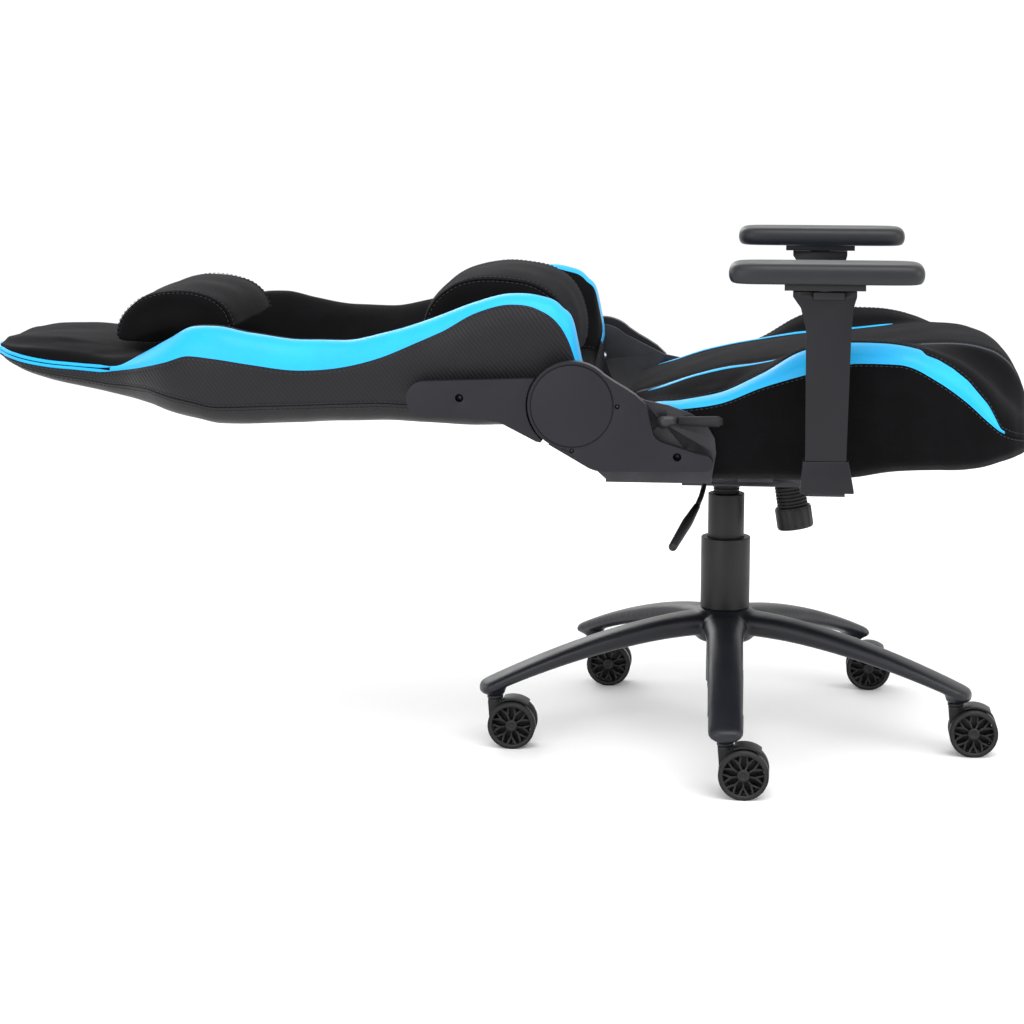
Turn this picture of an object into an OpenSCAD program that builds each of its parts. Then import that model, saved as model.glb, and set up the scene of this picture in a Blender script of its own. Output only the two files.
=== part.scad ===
// Gaming chair with a reclining bucket backrest, adjustable armrests and a five-leg caster base.
// The chair faces -Y, +Z is up, and the origin is on the floor under the gas column.
// The backrest is modelled at its fully reclined position, lying along +Y.

/* [Overall] */
// Height of the underside of the seat cushion above the floor
seat_z = 423; // [405:1:440]
// Half of the seat cushion's width
seat_half = 250; // [205:1:252]
// Length of the seat cushion from its rear edge to its front edge
seat_len = 542; // [450:1:650]
// Length of the backrest from the recline end to the top of the head
back_len = 816; // [680:1:980]
// Half of the backrest's width at the shoulders
back_half = 268; // [220:1:272]

/* [Star base] */
// Distance from the column to each caster stem
leg_reach = 329; // [270:1:400]
// Width of a leg
leg_w = 47; // [38:1:58]
// Turn of the star about the column, in degrees
base_turn = 1.85; // [0:0.05:36]
// Wall of the pressed legs
leg_wall = 2.6; // [2:0.1:4]
// Radius of the column hub at its top
hub_r = 37; // [30:1:48]

/* [Gas column] */
// Radius of the outer cylinder
cylinder_r = 25; // [20:0.5:28]
// Radius of the sliding piston tube
piston_r = 14; // [11:0.5:17]
// Wall of the telescopic covers
cover_wall = 2.5; // [1.5:0.1:3.5]
// Gap between parts that slide in each other
slide_gap = 0.5; // [0.3:0.1:1]
// Height of the top of the lower cover
cover_top = 277; // [250:1:285]

/* [Casters] */
// Radius of a caster wheel
wheel_r = 32.5; // [26:0.5:34]
// Width of one of the twin wheels
wheel_w = 14; // [11:0.5:18]
// Distance the wheel trails behind its stem
trail = 24; // [20:0.5:30]
// Radius of the caster stem
stem_r = 5.5; // [4.5:0.1:6.5]
// Radius of the caster axle
axle_r = 3; // [2.4:0.1:3.6]

/* [Mechanism] */
// Half width of the tilt housing
housing_half = 47; // [38:1:56]
// Height of the underside of the tilt housing
housing_z = 355; // [350:1:358]
// Radius of the tilt pivot pin
tilt_pin_r = 6; // [5:0.1:7.5]
// Radius of the tension knob
knob_r = 25; // [20:0.5:30]
// Radius of the height lever rod
rod_r = 3.5; // [3:0.1:3.8]

/* [Recliner] */
// Distance of the recline axis behind the column
hinge_y = 192; // [185:1:200]
// Height of the recline axis
hinge_z = 495; // [485:1:505]
// Radius of the round recliner cap
cap_r = 52; // [42:0.5:55]
// Thickness of the steel bracket plates
plate_t = 4; // [3:0.1:4.5]
// Thickness of the plastic bracket covers
cover_t = 16; // [12:0.5:19]
// Radius of the recline pivot bolt
pivot_r = 8; // [6:0.1:10]

/* [Armrests] */
// Distance from the middle of the chair to an armrest post
arm_x = 311; // [306:1:340]
// Depth of an armrest sleeve from front to back
sleeve_d = 57; // [48:1:68]
// Thickness of an armrest sleeve across the chair
sleeve_t = 30; // [25:0.5:34]
// Wall of an armrest sleeve
sleeve_wall = 4; // [3:0.1:5]
// Length of an armrest pad
pad_len = 242; // [200:1:290]
// Width of an armrest pad
pad_w = 94; // [78:1:100]
// Thickness of an armrest pad
pad_t = 26; // [20:1:32]
// Height of the underside of an armrest pad
pad_z = 658; // [640:1:690]

/* [Hidden] */
$fn = 48;

// Colours
c_plastic = "#2b2b30";
c_dark = "#161618";
c_steel = "#8d9094";
c_fabric = "#0d0d0e";
c_vinyl = "#232328";
c_pad = "#303034";

// ---- Star base ----
n_legs = 5;
leg_step = 360 / n_legs;
leg_tip_over = 21;              // the leg's end beyond the stem
leg_tip_z = 73;                 // underside of the leg's tip
leg_tip_t = 14;                 // thickness of the tip
leg_root_r = 30;                // where the leg meets the hub
leg_root_top = 172;
leg_root_rise = 68;             // rise of the underside towards the hub
leg_pad_len = 38;               // solid end that takes the stem
hub_top = 178;
hub_low = 128;
socket_r = stem_r + 2;
socket_flange_r = 11;
socket_flange_t = 3.5;
running = 0.06;                 // radial clearance of a running fit

// ---- Column ----
lower_cover_r = 34;
cylinder_low = 66;
cylinder_top = cover_top - 6;
piston_top = 372;
piston_low = 120;
mid_cover_r = lower_cover_r - cover_wall - 6.5;
mid_cover_low = cover_top - 37;
mid_cover_top = 338;
collar_top = housing_z - 9;
collar_r = 18;
boss_r = 24;
boss_wall_r = piston_r + 0.2;

// ---- Casters ----
fork_half = 7.4;
wheel_in = fork_half + 0.8;
fork_top = leg_tip_z - 7;
hood_r = wheel_r + 1.6;
hood_t = 2.6;
n_spokes = 9;

// ---- Mechanism ----
tilt_y = -40;
tilt_z = 374;
house_front = -118;
house_rear = 60;
house_wall = 3;
plate_z = 389;                  // underside of the seat plate
plate_h = 3;
plate_half = 55;
flange_in = housing_half + 3;
lever_y = 28;
lever_z = 365;
lever_x0 = -53;
slider_r = 6.3;
ball_r = rod_r + 0.8;
knob_tilt = 9;                  // degrees that the knob leans forward
knob_y = -86;
bellows_len = 34;
knob_len = 30;

// ---- Seat ----
seat_rear = 142;
tube_r = 8;
tray_wall = 3;
tray_top = seat_z - 0.3;
frame_z = seat_z - 9;
bar_z = 393;                    // underside of what is bolted below the seat
bar_t = 4;

// ---- Recliner stack, measured across the chair ----
seat_plate_x = 250;
gear_x = seat_plate_x + plate_t + 0.4;
gear_t = 6;
back_plate_x = gear_x + gear_t;
cover_x = back_plate_x + plate_t + 1.4;
ring_r = cap_r + 5;
cover_gap = 2.5;                // running gap round the recliner ring
lever_py = 76;
lever_pz = 474;
lever_pin_r = 4;
lever_x = cover_x + 2;

// ---- Back ----
rear_wall = 7;
back_start = hinge_y - 7;
back_tube_r = 9.5;

// ---- Armrests ----
arm_y = -130.5;
foot_low = 395;
foot_top = 435.5;
sleeve_low = 436;
sleeve_top = 648;
post_top = 600;
button_z = 643;
button_w = 39;
button_h = 9;
pad_y = -127;

// ---------- Shared helpers ----------

function mix(a, b, t) = a + (b - a) * t;
function at(rows, key, col) = lookup(key, [for (r = rows) [r[0], r[col]]]);

// Closed solid through rings of equal point count; end caps are flat
module loft(rings) {
    n = len(rings[0]);
    m = len(rings);
    pts = [for (r = rings) each r];
    sides = [
        for (k = [0 : m - 2], i = [0 : n - 1])
            let (a = k * n + i, b = k * n + (i + 1) % n, c = a + n, d = b + n)
                each [[a, b, d], [a, d, c]]
    ];
    caps = [[for (i = [0 : n - 1]) n - 1 - i], [for (i = [0 : n - 1]) (m - 1) * n + i]];
    polyhedron(points = pts, faces = concat(caps, sides), convexity = 6);
}

// Straight round bar between two points
module bar(p, q, r) {
    d = q - p;
    h = norm(d);
    translate(p)
        rotate([0, acos(d[2] / h), atan2(d[1], d[0])])
            cylinder(r = r, h = h);
}

// Closed solid between an outer and an inner skin that meet along their rims
module loft_shell(outer, inner) {
    n = len(outer[0]);
    m = len(outer);
    o = n * m;
    pts = concat([for (r = outer) each r], [for (r = inner) each r]);
    function quad(a, b, c, d) = [[a, b, c], [a, c, d]];
    skins = [
        for (k = [0 : m - 2]) for (i = [0 : n - 2])
            let (a = k * n + i, b = a + 1, c = b + n, d = a + n)
                each concat(quad(a, b, c, d), quad(o + a, o + d, o + c, o + b))
    ];
    rims = [
        for (k = [0 : m - 2])
            let (a = k * n, b = a + n, c = a + n - 1, d = c + n)
                each concat(quad(a, b, o + b, o + a), quad(c, o + c, o + d, d))
    ];
    e = (m - 1) * n;
    ends = [
        for (i = [0 : n - 2])
            each concat(quad(i + 1, i, o + i, o + i + 1), quad(e + i, e + i + 1, o + e + i + 1, o + e + i))
    ];
    polyhedron(points = pts, faces = concat(skins, rims, ends), convexity = 6);
}

function unit(v) = v / norm(v);

// Bent round rod: one ring of points at each corner of the path, square to the bend
module bent_rod(path, r, sides = 16) {
    last = len(path) - 1;
    function heading(i) = unit(
        (i < last ? unit(path[i + 1] - path[i]) : [0, 0, 0]) + (i > 0 ? unit(path[i] - path[i - 1]) : [0, 0, 0])
    );
    up = abs(heading(0)[2]) > 0.9 ? [0, 1, 0] : [0, 0, 1];
    loft([
        for (i = [0 : last])
            let (d = heading(i), u = unit(cross(d, up)), v = cross(u, d))
                [for (k = [0 : sides - 1]) path[i] + r * (cos(k * 360 / sides) * u + sin(k * 360 / sides) * v)]
    ]);
}

// Side outline (Y, Z) given thickness across the chair on both sides or one
module across(x0, t) {
    translate([x0, 0, 0])
        rotate([90, 0, 90])
            linear_extrude(height = t) children();
}

// Side +1 is the sitter's left (+X), side -1 is the sitter's right (-X)
module on_side(side) {
    if (side > 0) children();
    else mirror([1, 0, 0]) children();
}

module both_sides() {
    on_side(1) children();
    on_side(-1) children();
}

function leg_angle(k) = 180 + base_turn + leg_step * k;
function stem_pos(k) = [leg_reach * cos(leg_angle(k)), leg_reach * sin(leg_angle(k)), 0];

// ---------- Star base ----------

leg_end = leg_reach + leg_tip_over;
function leg_share(r) = (r - leg_root_r) / (leg_end - leg_root_r);
function leg_top(r) = leg_tip_z + leg_tip_t
    + (leg_root_top - leg_tip_z - leg_tip_t) * (1 - pow(leg_share(r), 1.12));
function leg_low(r) = leg_tip_z + leg_root_rise * pow(1 - leg_share(r), 1.1);

module leg_side(inset, r0, r1) {
    steps = 14;
    rs = [for (i = [0 : steps]) mix(r0, r1, i / steps)];
    polygon(concat(
        [for (r = rs) [r, leg_top(r) - inset]],
        [for (i = [steps : -1 : 0]) [rs[i], leg_low(rs[i]) - (inset > 0 ? leg_tip_t : 0)]]
    ));
}

module leg_plan(inset, r1, round_end) {
    half = leg_w / 2 - inset;
    waist = 3;                  // a leg is this much narrower at the hub
    polygon(concat(
        [[r1, half], [0, half - waist], [0, -half + waist], [r1, -half]],
        round_end ? [for (a = [-80 : 10 : 80]) [r1 + half * cos(a), half * sin(a)]] : []
    ));
}

module leg_solid() {
    intersection() {
        translate([0, leg_w, 0])
            rotate([90, 0, 0])
                linear_extrude(height = 2 * leg_w) leg_side(0, leg_root_r, leg_end);
        linear_extrude(height = hub_top) leg_plan(0, leg_end - leg_w / 2, true);
    }
}

module leg_hollow() {
    r1 = leg_reach - leg_pad_len / 2;
    intersection() {
        translate([0, leg_w, 0])
            rotate([90, 0, 0])
                linear_extrude(height = 2 * leg_w) leg_side(leg_wall, hub_r + 16, r1);
        linear_extrude(height = hub_top) leg_plan(leg_wall, r1, false);
    }
}

module star_base() {
    color(c_plastic)
        difference() {
            union() {
                rotate_extrude($fn = 96)
                    polygon([
                        [0, hub_low], [hub_r - 4, hub_low], [hub_r + 4, hub_low + 7],
                        [hub_r + 5, hub_low + 20], [hub_r + 2, hub_low + 36], [hub_r, hub_low + 44],
                        [hub_r, hub_top - 1], [hub_r - 1, hub_top], [0, hub_top]
                    ]);
                for (k = [0 : n_legs - 1]) {
                    rotate([0, 0, leg_angle(k)]) leg_solid();
                    translate(stem_pos(k) + [0, 0, leg_tip_z - 2])
                        cylinder(r = socket_flange_r + 3, h = leg_tip_t - 2);
                }
            }
            for (k = [0 : n_legs - 1]) rotate([0, 0, leg_angle(k)]) leg_hollow();
            translate([0, 0, hub_low - 1]) cylinder(r = cylinder_r, h = hub_top - hub_low + 2);
            for (k = [0 : n_legs - 1])
                translate(stem_pos(k)) cylinder(r = socket_r, h = leg_tip_z + leg_tip_t - 3);
        }
}

module stem_sockets() {
    color(c_dark)
        for (k = [0 : n_legs - 1])
            translate(stem_pos(k))
                difference() {
                    union() {
                        translate([0, 0, leg_tip_z - 2])
                            cylinder(r = socket_r, h = leg_tip_t - 2);
                        translate([0, 0, leg_tip_z - 2 - socket_flange_t])
                            cylinder(r = socket_flange_r, h = socket_flange_t);
                    }
                    cylinder(r = stem_r, h = 2 * leg_tip_z);
                }
}

module caster_stems() {
    color(c_steel)
        for (k = [0 : n_legs - 1])
            translate(stem_pos(k) + [0, 0, wheel_r + 15])
                cylinder(r = stem_r, h = leg_tip_z + leg_tip_t - 6 - wheel_r - 15);
}

// ---------- Gas column ----------

module tube(r, wall, z0, z1) {
    translate([0, 0, z0])
        difference() {
            cylinder(r = r, h = z1 - z0, $fn = 72);
            translate([0, 0, -1]) cylinder(r = r - wall, h = z1 - z0 + 2, $fn = 72);
        }
}

module gas_outer_cylinder() {
    color(c_dark)
        difference() {
            union() {
                translate([0, 0, cylinder_low + 6]) cylinder(r = cylinder_r, h = hub_top - cylinder_low - 6);
                translate([0, 0, hub_top])
                    cylinder(r = mid_cover_r - cover_wall - slide_gap, h = cylinder_top - hub_top);
                translate([0, 0, cylinder_low]) cylinder(r = cylinder_r - 3, h = 6);
            }
            translate([0, 0, cylinder_low + 8]) cylinder(r = piston_r + running, h = cylinder_top);
        }
}

module gas_piston() {
    color(c_steel) {
        translate([0, 0, piston_low + 20])
            cylinder(r = piston_r, h = piston_top - piston_low - 20);
        translate([0, 0, piston_top]) cylinder(r = 4, h = 3);
    }
}

module dust_cover_lower() {
    color(c_plastic)
        difference() {
            translate([0, 0, hub_top])
                cylinder(r = lower_cover_r, h = cover_top - hub_top, $fn = 72);
            translate([0, 0, hub_top - 1])
                cylinder(r = mid_cover_r + slide_gap, h = cover_top - hub_top + 2, $fn = 72);
        }
}

module dust_cover_middle() {
    rim = 3;
    color(c_plastic) {
        tube(mid_cover_r, cover_wall, mid_cover_low, mid_cover_top);
        difference() {
            translate([0, 0, mid_cover_top - rim]) cylinder(r = mid_cover_r, h = rim, $fn = 72);
            translate([0, 0, mid_cover_top - rim - 1]) cylinder(r = piston_r, h = rim + 2);
        }
    }
}

module ribbed_collar() {
    rib = 2;
    color(c_dark)
        difference() {
            union() {
                translate([0, 0, mid_cover_top]) cylinder(r = collar_r - 1.5, h = collar_top - mid_cover_top);
                for (z = [mid_cover_top + 1 : 2 * rib : collar_top - rib])
                    translate([0, 0, z]) cylinder(r = collar_r, h = rib);
            }
            translate([0, 0, mid_cover_top - 1]) cylinder(r = piston_r, h = collar_top);
        }
}

// ---------- Casters ----------

module caster_fork(k) {
    web_r = wheel_r - 7;
    color(c_dark)
        translate(stem_pos(k))
            difference() {
                union() {
                    // Web between the wheels, round the axle and up to the stem
                    across(-fork_half, 2 * fork_half) {
                        translate([-trail, wheel_r]) circle(r = web_r);
                        polygon([
                            [-trail, wheel_r + web_r], [-stem_r - 4, fork_top - 3],
                            [-stem_r - 3, fork_top], [stem_r + 3, fork_top],
                            [stem_r + 4, fork_top - 3], [stem_r + 2, wheel_r + 6],
                            [-trail + 10, wheel_r - 20]
                        ]);
                    }
                    // Hood over the wheels
                    across(-wheel_in - wheel_w * 0.55, 2 * wheel_in + wheel_w * 1.1)
                        intersection() {
                            translate([-trail, wheel_r])
                                difference() {
                                    circle(r = hood_r + hood_t, $fn = 72);
                                    circle(r = hood_r, $fn = 72);
                                }
                            polygon([
                                [-trail, wheel_r], [-trail - 30, wheel_r + 38], [-trail, wheel_r + 60],
                                [-stem_r - 6, wheel_r + 60], [-stem_r - 6, wheel_r + 20]
                            ]);
                        }
                    across(-fork_half, 2 * fork_half)
                        polygon([
                            [-trail - 16, wheel_r + 18], [-trail - 18, wheel_r + 31],
                            [-trail, wheel_r + hood_r + 1], [-stem_r - 4, fork_top - 1],
                            [-stem_r, wheel_r + 20]
                        ]);
                    translate([0, 0, fork_top - 3]) cylinder(r = stem_r + 4.5, h = 3);
                    translate([-wheel_in - wheel_w + 1, -trail, wheel_r])
                        rotate([0, 90, 0]) cylinder(r = axle_r, h = 2 * (wheel_in + wheel_w - 1));
                }
                translate([0, 0, wheel_r + 14]) cylinder(r = stem_r + running, h = 60);
            }
}

module wheel(x0) {
    rim_r = wheel_r - 6;
    hub = axle_r + 5;
    spoke_w = 2.4;
    fork_at = 0.62;             // where a spoke splits, as a share of the rim radius
    translate([x0, 0, 0])
        rotate([0, 90, 0])
            difference() {
                union() {
                    difference() {
                        union() {
                            cylinder(r = wheel_r - 1, h = wheel_w, $fn = 72);
                            translate([0, 0, 1]) cylinder(r = wheel_r, h = wheel_w - 2, $fn = 72);
                        }
                        translate([0, 0, -1]) cylinder(r = rim_r, h = wheel_w + 2, $fn = 72);
                    }
                    translate([0, 0, 1]) cylinder(r = hub, h = wheel_w - 2);
                    for (i = [0 : n_spokes - 1])
                        rotate([0, 0, i * 360 / n_spokes]) {
                            translate([hub - 1, -spoke_w / 2, 3])
                                cube([rim_r * fork_at - hub + 1, spoke_w, wheel_w - 6]);
                            for (s = [-1, 1])
                                translate([rim_r * fork_at - 1, 0, 3])
                                    rotate([0, 0, 28 * s])
                                        translate([0, -spoke_w / 2, 0])
                                            cube([rim_r * (1 - fork_at) + 3, spoke_w, wheel_w - 6]);
                        }
                }
                translate([0, 0, -1]) cylinder(r = axle_r + running, h = wheel_w + 2);
            }
}

module caster_wheels(k) {
    color(c_dark)
        translate(stem_pos(k) + [0, -trail, wheel_r]) {
            wheel(wheel_in);
            mirror([1, 0, 0]) wheel(wheel_in);
        }
}

// ---------- Mechanism ----------

module mechanism_housing() {
    wall_outline = [
        [house_front, housing_z], [house_front, tilt_z], [tilt_y - 20, tilt_z + 7],
        [tilt_y + 22, tilt_z + 7], [house_rear, housing_z + 7], [house_rear, housing_z]
    ];
    color(c_steel)
        difference() {
            union() {
                for (x = [-housing_half, housing_half - house_wall])
                    across(x, house_wall) polygon(wall_outline);
                translate([-housing_half, house_front, housing_z])
                    cube([2 * housing_half, house_rear - house_front, house_wall]);
                for (y = [house_front, house_rear - house_wall])
                    translate([-housing_half, y, housing_z]) cube([2 * housing_half, house_wall, 7]);
                translate([0, 0, collar_top])
                    cylinder(r1 = collar_r, r2 = boss_r, h = housing_z - collar_top);
                translate([0, 0, housing_z]) cylinder(r = boss_r, h = 12);
            }
            translate([0, 0, collar_top - 1]) cylinder(r = boss_wall_r, h = 60);
            translate([-60, tilt_y, tilt_z])
                rotate([0, 90, 0]) cylinder(r = tilt_pin_r + running, h = 120);
            translate([-60, lever_y, lever_z])
                rotate([0, 90, 0]) cylinder(r = slider_r + running, h = 30);
        }
}

module knob_axis() {
    translate([0, knob_y, housing_z])
        rotate([180 - knob_tilt, 0, 0])
            children();
}

module tilt_spring() {
    turns = 5;
    wire = 2.2;
    color(c_steel)
        for (i = [0 : turns - 1])
            translate([0, knob_y, housing_z + house_wall + wire + i * 3])
                rotate_extrude() translate([14, 0]) circle(r = 1.4);
}

module tension_bellows() {
    ribs = 7;
    step = bellows_len / ribs;
    color(c_dark)
        intersection() {
            knob_axis()
                union() {
                    translate([0, 0, -8]) cylinder(r = knob_r - 7, h = bellows_len + 8);
                    for (i = [0 : ribs - 1])
                        translate([0, 0, i * step + 1])
                            cylinder(r = knob_r - 4, h = step * 0.55);
                }
            translate([-60, knob_y - 80, housing_z - 80]) cube([120, 160, 80]);
        }
}

module tension_knob() {
    flutes = 14;
    flute_r = 2;
    color(c_dark)
        knob_axis()
            translate([0, 0, bellows_len + 0.4])
                difference() {
                    union() {
                        cylinder(r = knob_r - 1, h = knob_len);
                        translate([0, 0, 2]) cylinder(r = knob_r, h = knob_len - 4);
                    }
                    for (i = [0 : flutes - 1])
                        rotate([0, 0, i * 360 / flutes])
                            translate([knob_r + 0.8, 0, -1]) cylinder(r = flute_r, h = knob_len + 2, $fn = 16);
                }
}

module tilt_lock_slider() {
    color(c_dark)
        translate([-58, lever_y, lever_z])
            rotate([0, 90, 0])
                difference() {
                    union() {
                        cylinder(r = slider_r, h = 38);
                        cylinder(r = slider_r + 0.7, h = 5);
                    }
                    translate([0, 0, -1]) cylinder(r = ball_r + running, h = 16);
                }
}

lever_path = [
    [lever_x0, lever_y, lever_z], [-120, lever_y, lever_z - 1],
    [-150, lever_y + 2, lever_z - 7], [-180, lever_y + 6, lever_z - 14]
];
lever_tip = [-262, 62, 311];

module height_lever_rod() {
    color(c_dark) {
        translate(lever_path[0]) sphere(r = ball_r);
        bent_rod(lever_path, rod_r);
    }
}

module height_lever_paddle() {
    start = lever_path[3];
    dir = (lever_tip - start) / norm(lever_tip - start);
    color(c_plastic)
        hull() {
            bar(start + dir * 1.4, start + dir * 6, rod_r + 1);
            translate(start + dir * 40) sphere(r = rod_r + 3.5, $fn = 24);
            translate(lever_tip) sphere(r = rod_r + 2.2, $fn = 24);
        }
}

// ---------- Seat ----------

module bolt_places() {
    for (x = [-85, 85]) for (y = [house_front + 21, house_rear - 8])
        translate([x, y, 0]) children();
}

module mechanism_top_plate() {
    ear = 20;
    color(c_steel)
        difference() {
            union() {
                translate([-plate_half, house_front + 8, plate_z])
                    cube([2 * plate_half, house_rear - house_front - 6, plate_h]);
                for (y = [house_front + 8, house_rear - ear + 2])
                    translate([-100, y, plate_z]) cube([200, ear + 4, plate_h]);
                for (x = [-flange_in - house_wall, flange_in])
                    translate([x, tilt_y - 24, tilt_z - 12])
                        cube([house_wall, 48, plate_z + plate_h - tilt_z + 12]);
                bolt_places() translate([0, 0, plate_z]) cylinder(r = 9, h = bar_z + bar_t + 1 - plate_z);
            }
            translate([-70, tilt_y, tilt_z]) rotate([0, 90, 0]) cylinder(r = tilt_pin_r, h = 140);
            bolt_places() translate([0, 0, plate_z - 1]) cylinder(r = 4.1, h = 20);
        }
}

module mounting_bolts() {
    color(c_steel)
        bolt_places() {
            translate([0, 0, plate_z - 5]) cylinder(r = 6.5, h = 5, $fn = 6);
            translate([0, 0, plate_z - 1]) cylinder(r = 4, h = bar_z + bar_t + 1 - plate_z);
        }
}

module tilt_pivot_pin() {
    half = flange_in + house_wall + 3;
    color(c_steel)
        translate([-half, tilt_y, tilt_z]) rotate([0, 90, 0]) cylinder(r = tilt_pin_r, h = 2 * half);
}

frame_half = seat_half - 48;
frame_front = -150;
frame_rear = seat_rear - 34;

module seat_frame() {
    joint = 0.3;
    inner = frame_half - tube_r - joint;
    color(c_steel) {
        for (x = [-frame_half, frame_half])
            bar([x, frame_front - tube_r, frame_z], [x, frame_rear + tube_r, frame_z], tube_r);
        for (y = [frame_front, house_front + 21, house_rear - 8, frame_rear])
            bar([-inner, y, frame_z], [inner, y, frame_z], tube_r - 1);
    }
}

module seat_webbing() {
    straps = 4;
    strap_w = 30;
    gap = 1;
    free_front = house_front + 21 + tube_r;
    free_rear = house_rear - 8 - tube_r;
    color(c_dark)
        for (i = [0 : straps - 1]) {
            y = mix(free_front, free_rear - strap_w, i / (straps - 1));
            translate([-frame_half + tube_r + gap, y, frame_z])
                cube([2 * (frame_half - tube_r - gap), strap_w - 4, 2]);
        }
}

// Seat rows: distance behind the front edge as a share of the length, share of the half width,
// then heights above the cushion's underside: middle, bolster crest, outer seam, underside
SEAT = [
    [0, 0.52, 55, 32, 14, 11], [0.015, 0.70, 84, 45, 18, 9], [0.041, 0.82, 112, 57, 23, 7],
    [0.081, 0.90, 134, 77, 32, 4], [0.116, 0.94, 142, 97, 47, 1], [0.164, 0.965, 146, 118, 71, 0],
    [0.234, 0.985, 147, 137, 99, 0], [0.328, 1, 143, 150, 122, 0], [0.421, 1, 135, 153, 123, 0],
    [0.491, 1, 131, 152, 116, 0], [0.559, 0.992, 128, 141, 105, 0], [0.653, 0.982, 123, 113, 89, 0],
    [0.745, 0.978, 116, 89, 69, 0], [0.839, 0.972, 102, 77, 63, 0], [0.923, 0.955, 87, 69, 61, 0],
    [0.959, 0.92, 80, 55, 45, 0], [0.987, 0.86, 65, 37, 29, 0], [1, 0.80, 47, 29, 22, 0]
];
seat_front = seat_rear - seat_len;

function seat_y(s) = seat_front + seat_len * s;
function seat_ring(r) = let (
    w = seat_half * r[1], c = r[2], k = r[3], e = r[4], b = r[5],
    half = [
        [0.20, c + 1], [0.50, c], [0.58, c - 3], [0.66, mix(c, k, 0.5)], [0.76, mix(c, k, 0.9)],
        [0.85, k], [0.93, mix(k, e, 0.25)], [0.985, mix(k, e, 0.65)], [1, e],
        [1, mix(b, e, 0.5)], [0.97, b]
    ]
) concat(
    [for (p = half) [p[0] * w, seat_y(r[0]), seat_z + p[1]]],
    [for (i = [len(half) - 1 : -1 : 0]) [-half[i][0] * w, seat_y(r[0]), seat_z + half[i][1]]]
);

module seat_cushion() {
    color(c_fabric) loft([for (r = SEAT) seat_ring(r)]);
}

// Under cover rows: share of the length behind the front edge, drop below the cushion
TRAY = [
    [0.11, 6], [0.16, 8], [0.37, 12], [0.43, 20], [0.46, 21], [0.57, 24], [0.74, 25],
    [0.92, 23], [0.985, 19]
];

function tray_ring(r, t) = let (
    w = seat_half * at(SEAT, r[0], 1) * 0.955 - t,
    low = seat_z - r[1] + t,
    half = [[w, tray_top], [w, low + 3], [w - 5, low]]
) concat(
    [for (p = half) [p[0], seat_y(r[0]), min(p[1], tray_top)]],
    [for (i = [2 : -1 : 0]) [-half[i][0], seat_y(r[0]), min(half[i][1], tray_top)]]
);

module seat_under_cover() {
    color(c_dark) loft_shell([for (r = TRAY) tray_ring(r, 0)], [for (r = TRAY) tray_ring(r, tray_wall)]);
}

// ---------- Seat brackets and covers ----------

module seat_bracket_outline() {
    translate([hinge_y, hinge_z]) circle(r = cap_r - 4);
    polygon([
        [hinge_y - 26, hinge_z + 38], [100, 500], [70, 494], [42, 484], [22, 472], [10, 452], [8, 432],
        [14, bar_z + bar_t], [hinge_y - 42, bar_z + bar_t], [hinge_y + 30, hinge_z - 34]
    ]);
}

module seat_brackets() {
    color(c_steel)
        both_sides()
            difference() {
                union() {
                    across(seat_plate_x, plate_t) seat_bracket_outline();
                    translate([seat_plate_x - 90, 14, bar_z])
                        cube([90 + plate_t, hinge_y - 42 - 14, bar_t]);
                }
                translate([seat_plate_x - 1, hinge_y, hinge_z])
                    rotate([0, 90, 0]) cylinder(r = pivot_r, h = plate_t + 2);
                translate([seat_plate_x - 1, lever_py, lever_pz])
                    rotate([0, 90, 0]) cylinder(r = lever_pin_r + running, h = plate_t + 2);
            }
}

module seat_cover_outline() {
    translate([hinge_y, hinge_z]) circle(r = ring_r, $fn = 96);
    translate([22, 423]) circle(r = 10.5);
    polygon([
        [hinge_y + 30, hinge_z - 50], [hinge_y - 22, hinge_z - 80], [hinge_y - 30, hinge_z - 83],
        [hinge_y - 40, hinge_z - 84], [20, 412.7], [18, 432.7], [30, 435], [78, 450], [84, 454], [88, 460],
        [98, 498], [111, 510], [125, 519], [139, 527], [hinge_y - 38, hinge_z + 42], [hinge_y, hinge_z]
    ]);
}

screw_places = [[57, 431, 5.4], [hinge_y - cap_r - 6, hinge_z, 3.2], [hinge_y, hinge_z - cap_r - 6, 3.2]];

module seat_bracket_cover(side) {
    groove = 1.4;
    lip = 2.4;
    hub_floor = 4;
    color(c_plastic)
        on_side(side)
            difference() {
                union() {
                    across(cover_x, cover_t) seat_cover_outline();
                    translate([cover_x, hinge_y, hinge_z])
                        rotate([0, 90, 0]) cylinder(r = cap_r, h = cover_t + lip, $fn = 96);
                }
                // Groove round the cap
                translate([cover_x + cover_t - groove, hinge_y, hinge_z])
                    rotate([0, 90, 0])
                        difference() {
                            cylinder(r = cap_r + groove, h = cover_t, $fn = 96);
                            translate([0, 0, -1]) cylinder(r = cap_r, h = cover_t + 2, $fn = 96);
                        }
                // Room for the pivot bolt head
                translate([cover_x - 1, hinge_y, hinge_z])
                    rotate([0, 90, 0]) cylinder(r = pivot_r + 7, h = cover_t - hub_floor);
                for (p = screw_places)
                    translate([cover_x - 1, p[0], p[1]])
                        rotate([0, 90, 0]) cylinder(r = p[2], h = cover_t + 10);
            }
}

module bracket_screws() {
    head_t = 3;
    color(c_dark)
        both_sides()
            for (p = screw_places)
                translate([seat_plate_x + plate_t, p[0], p[1]]) {
                    shank_x = cover_x + cover_t - (p[2] > 4 ? 9 : 2) - seat_plate_x - plate_t;
                    rotate([0, 90, 0]) cylinder(r = 1.8, h = shank_x);
                    translate([shank_x - head_t, 0, 0]) rotate([0, 90, 0]) cylinder(r = p[2] - 0.3, h = head_t);
                }
}

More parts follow.
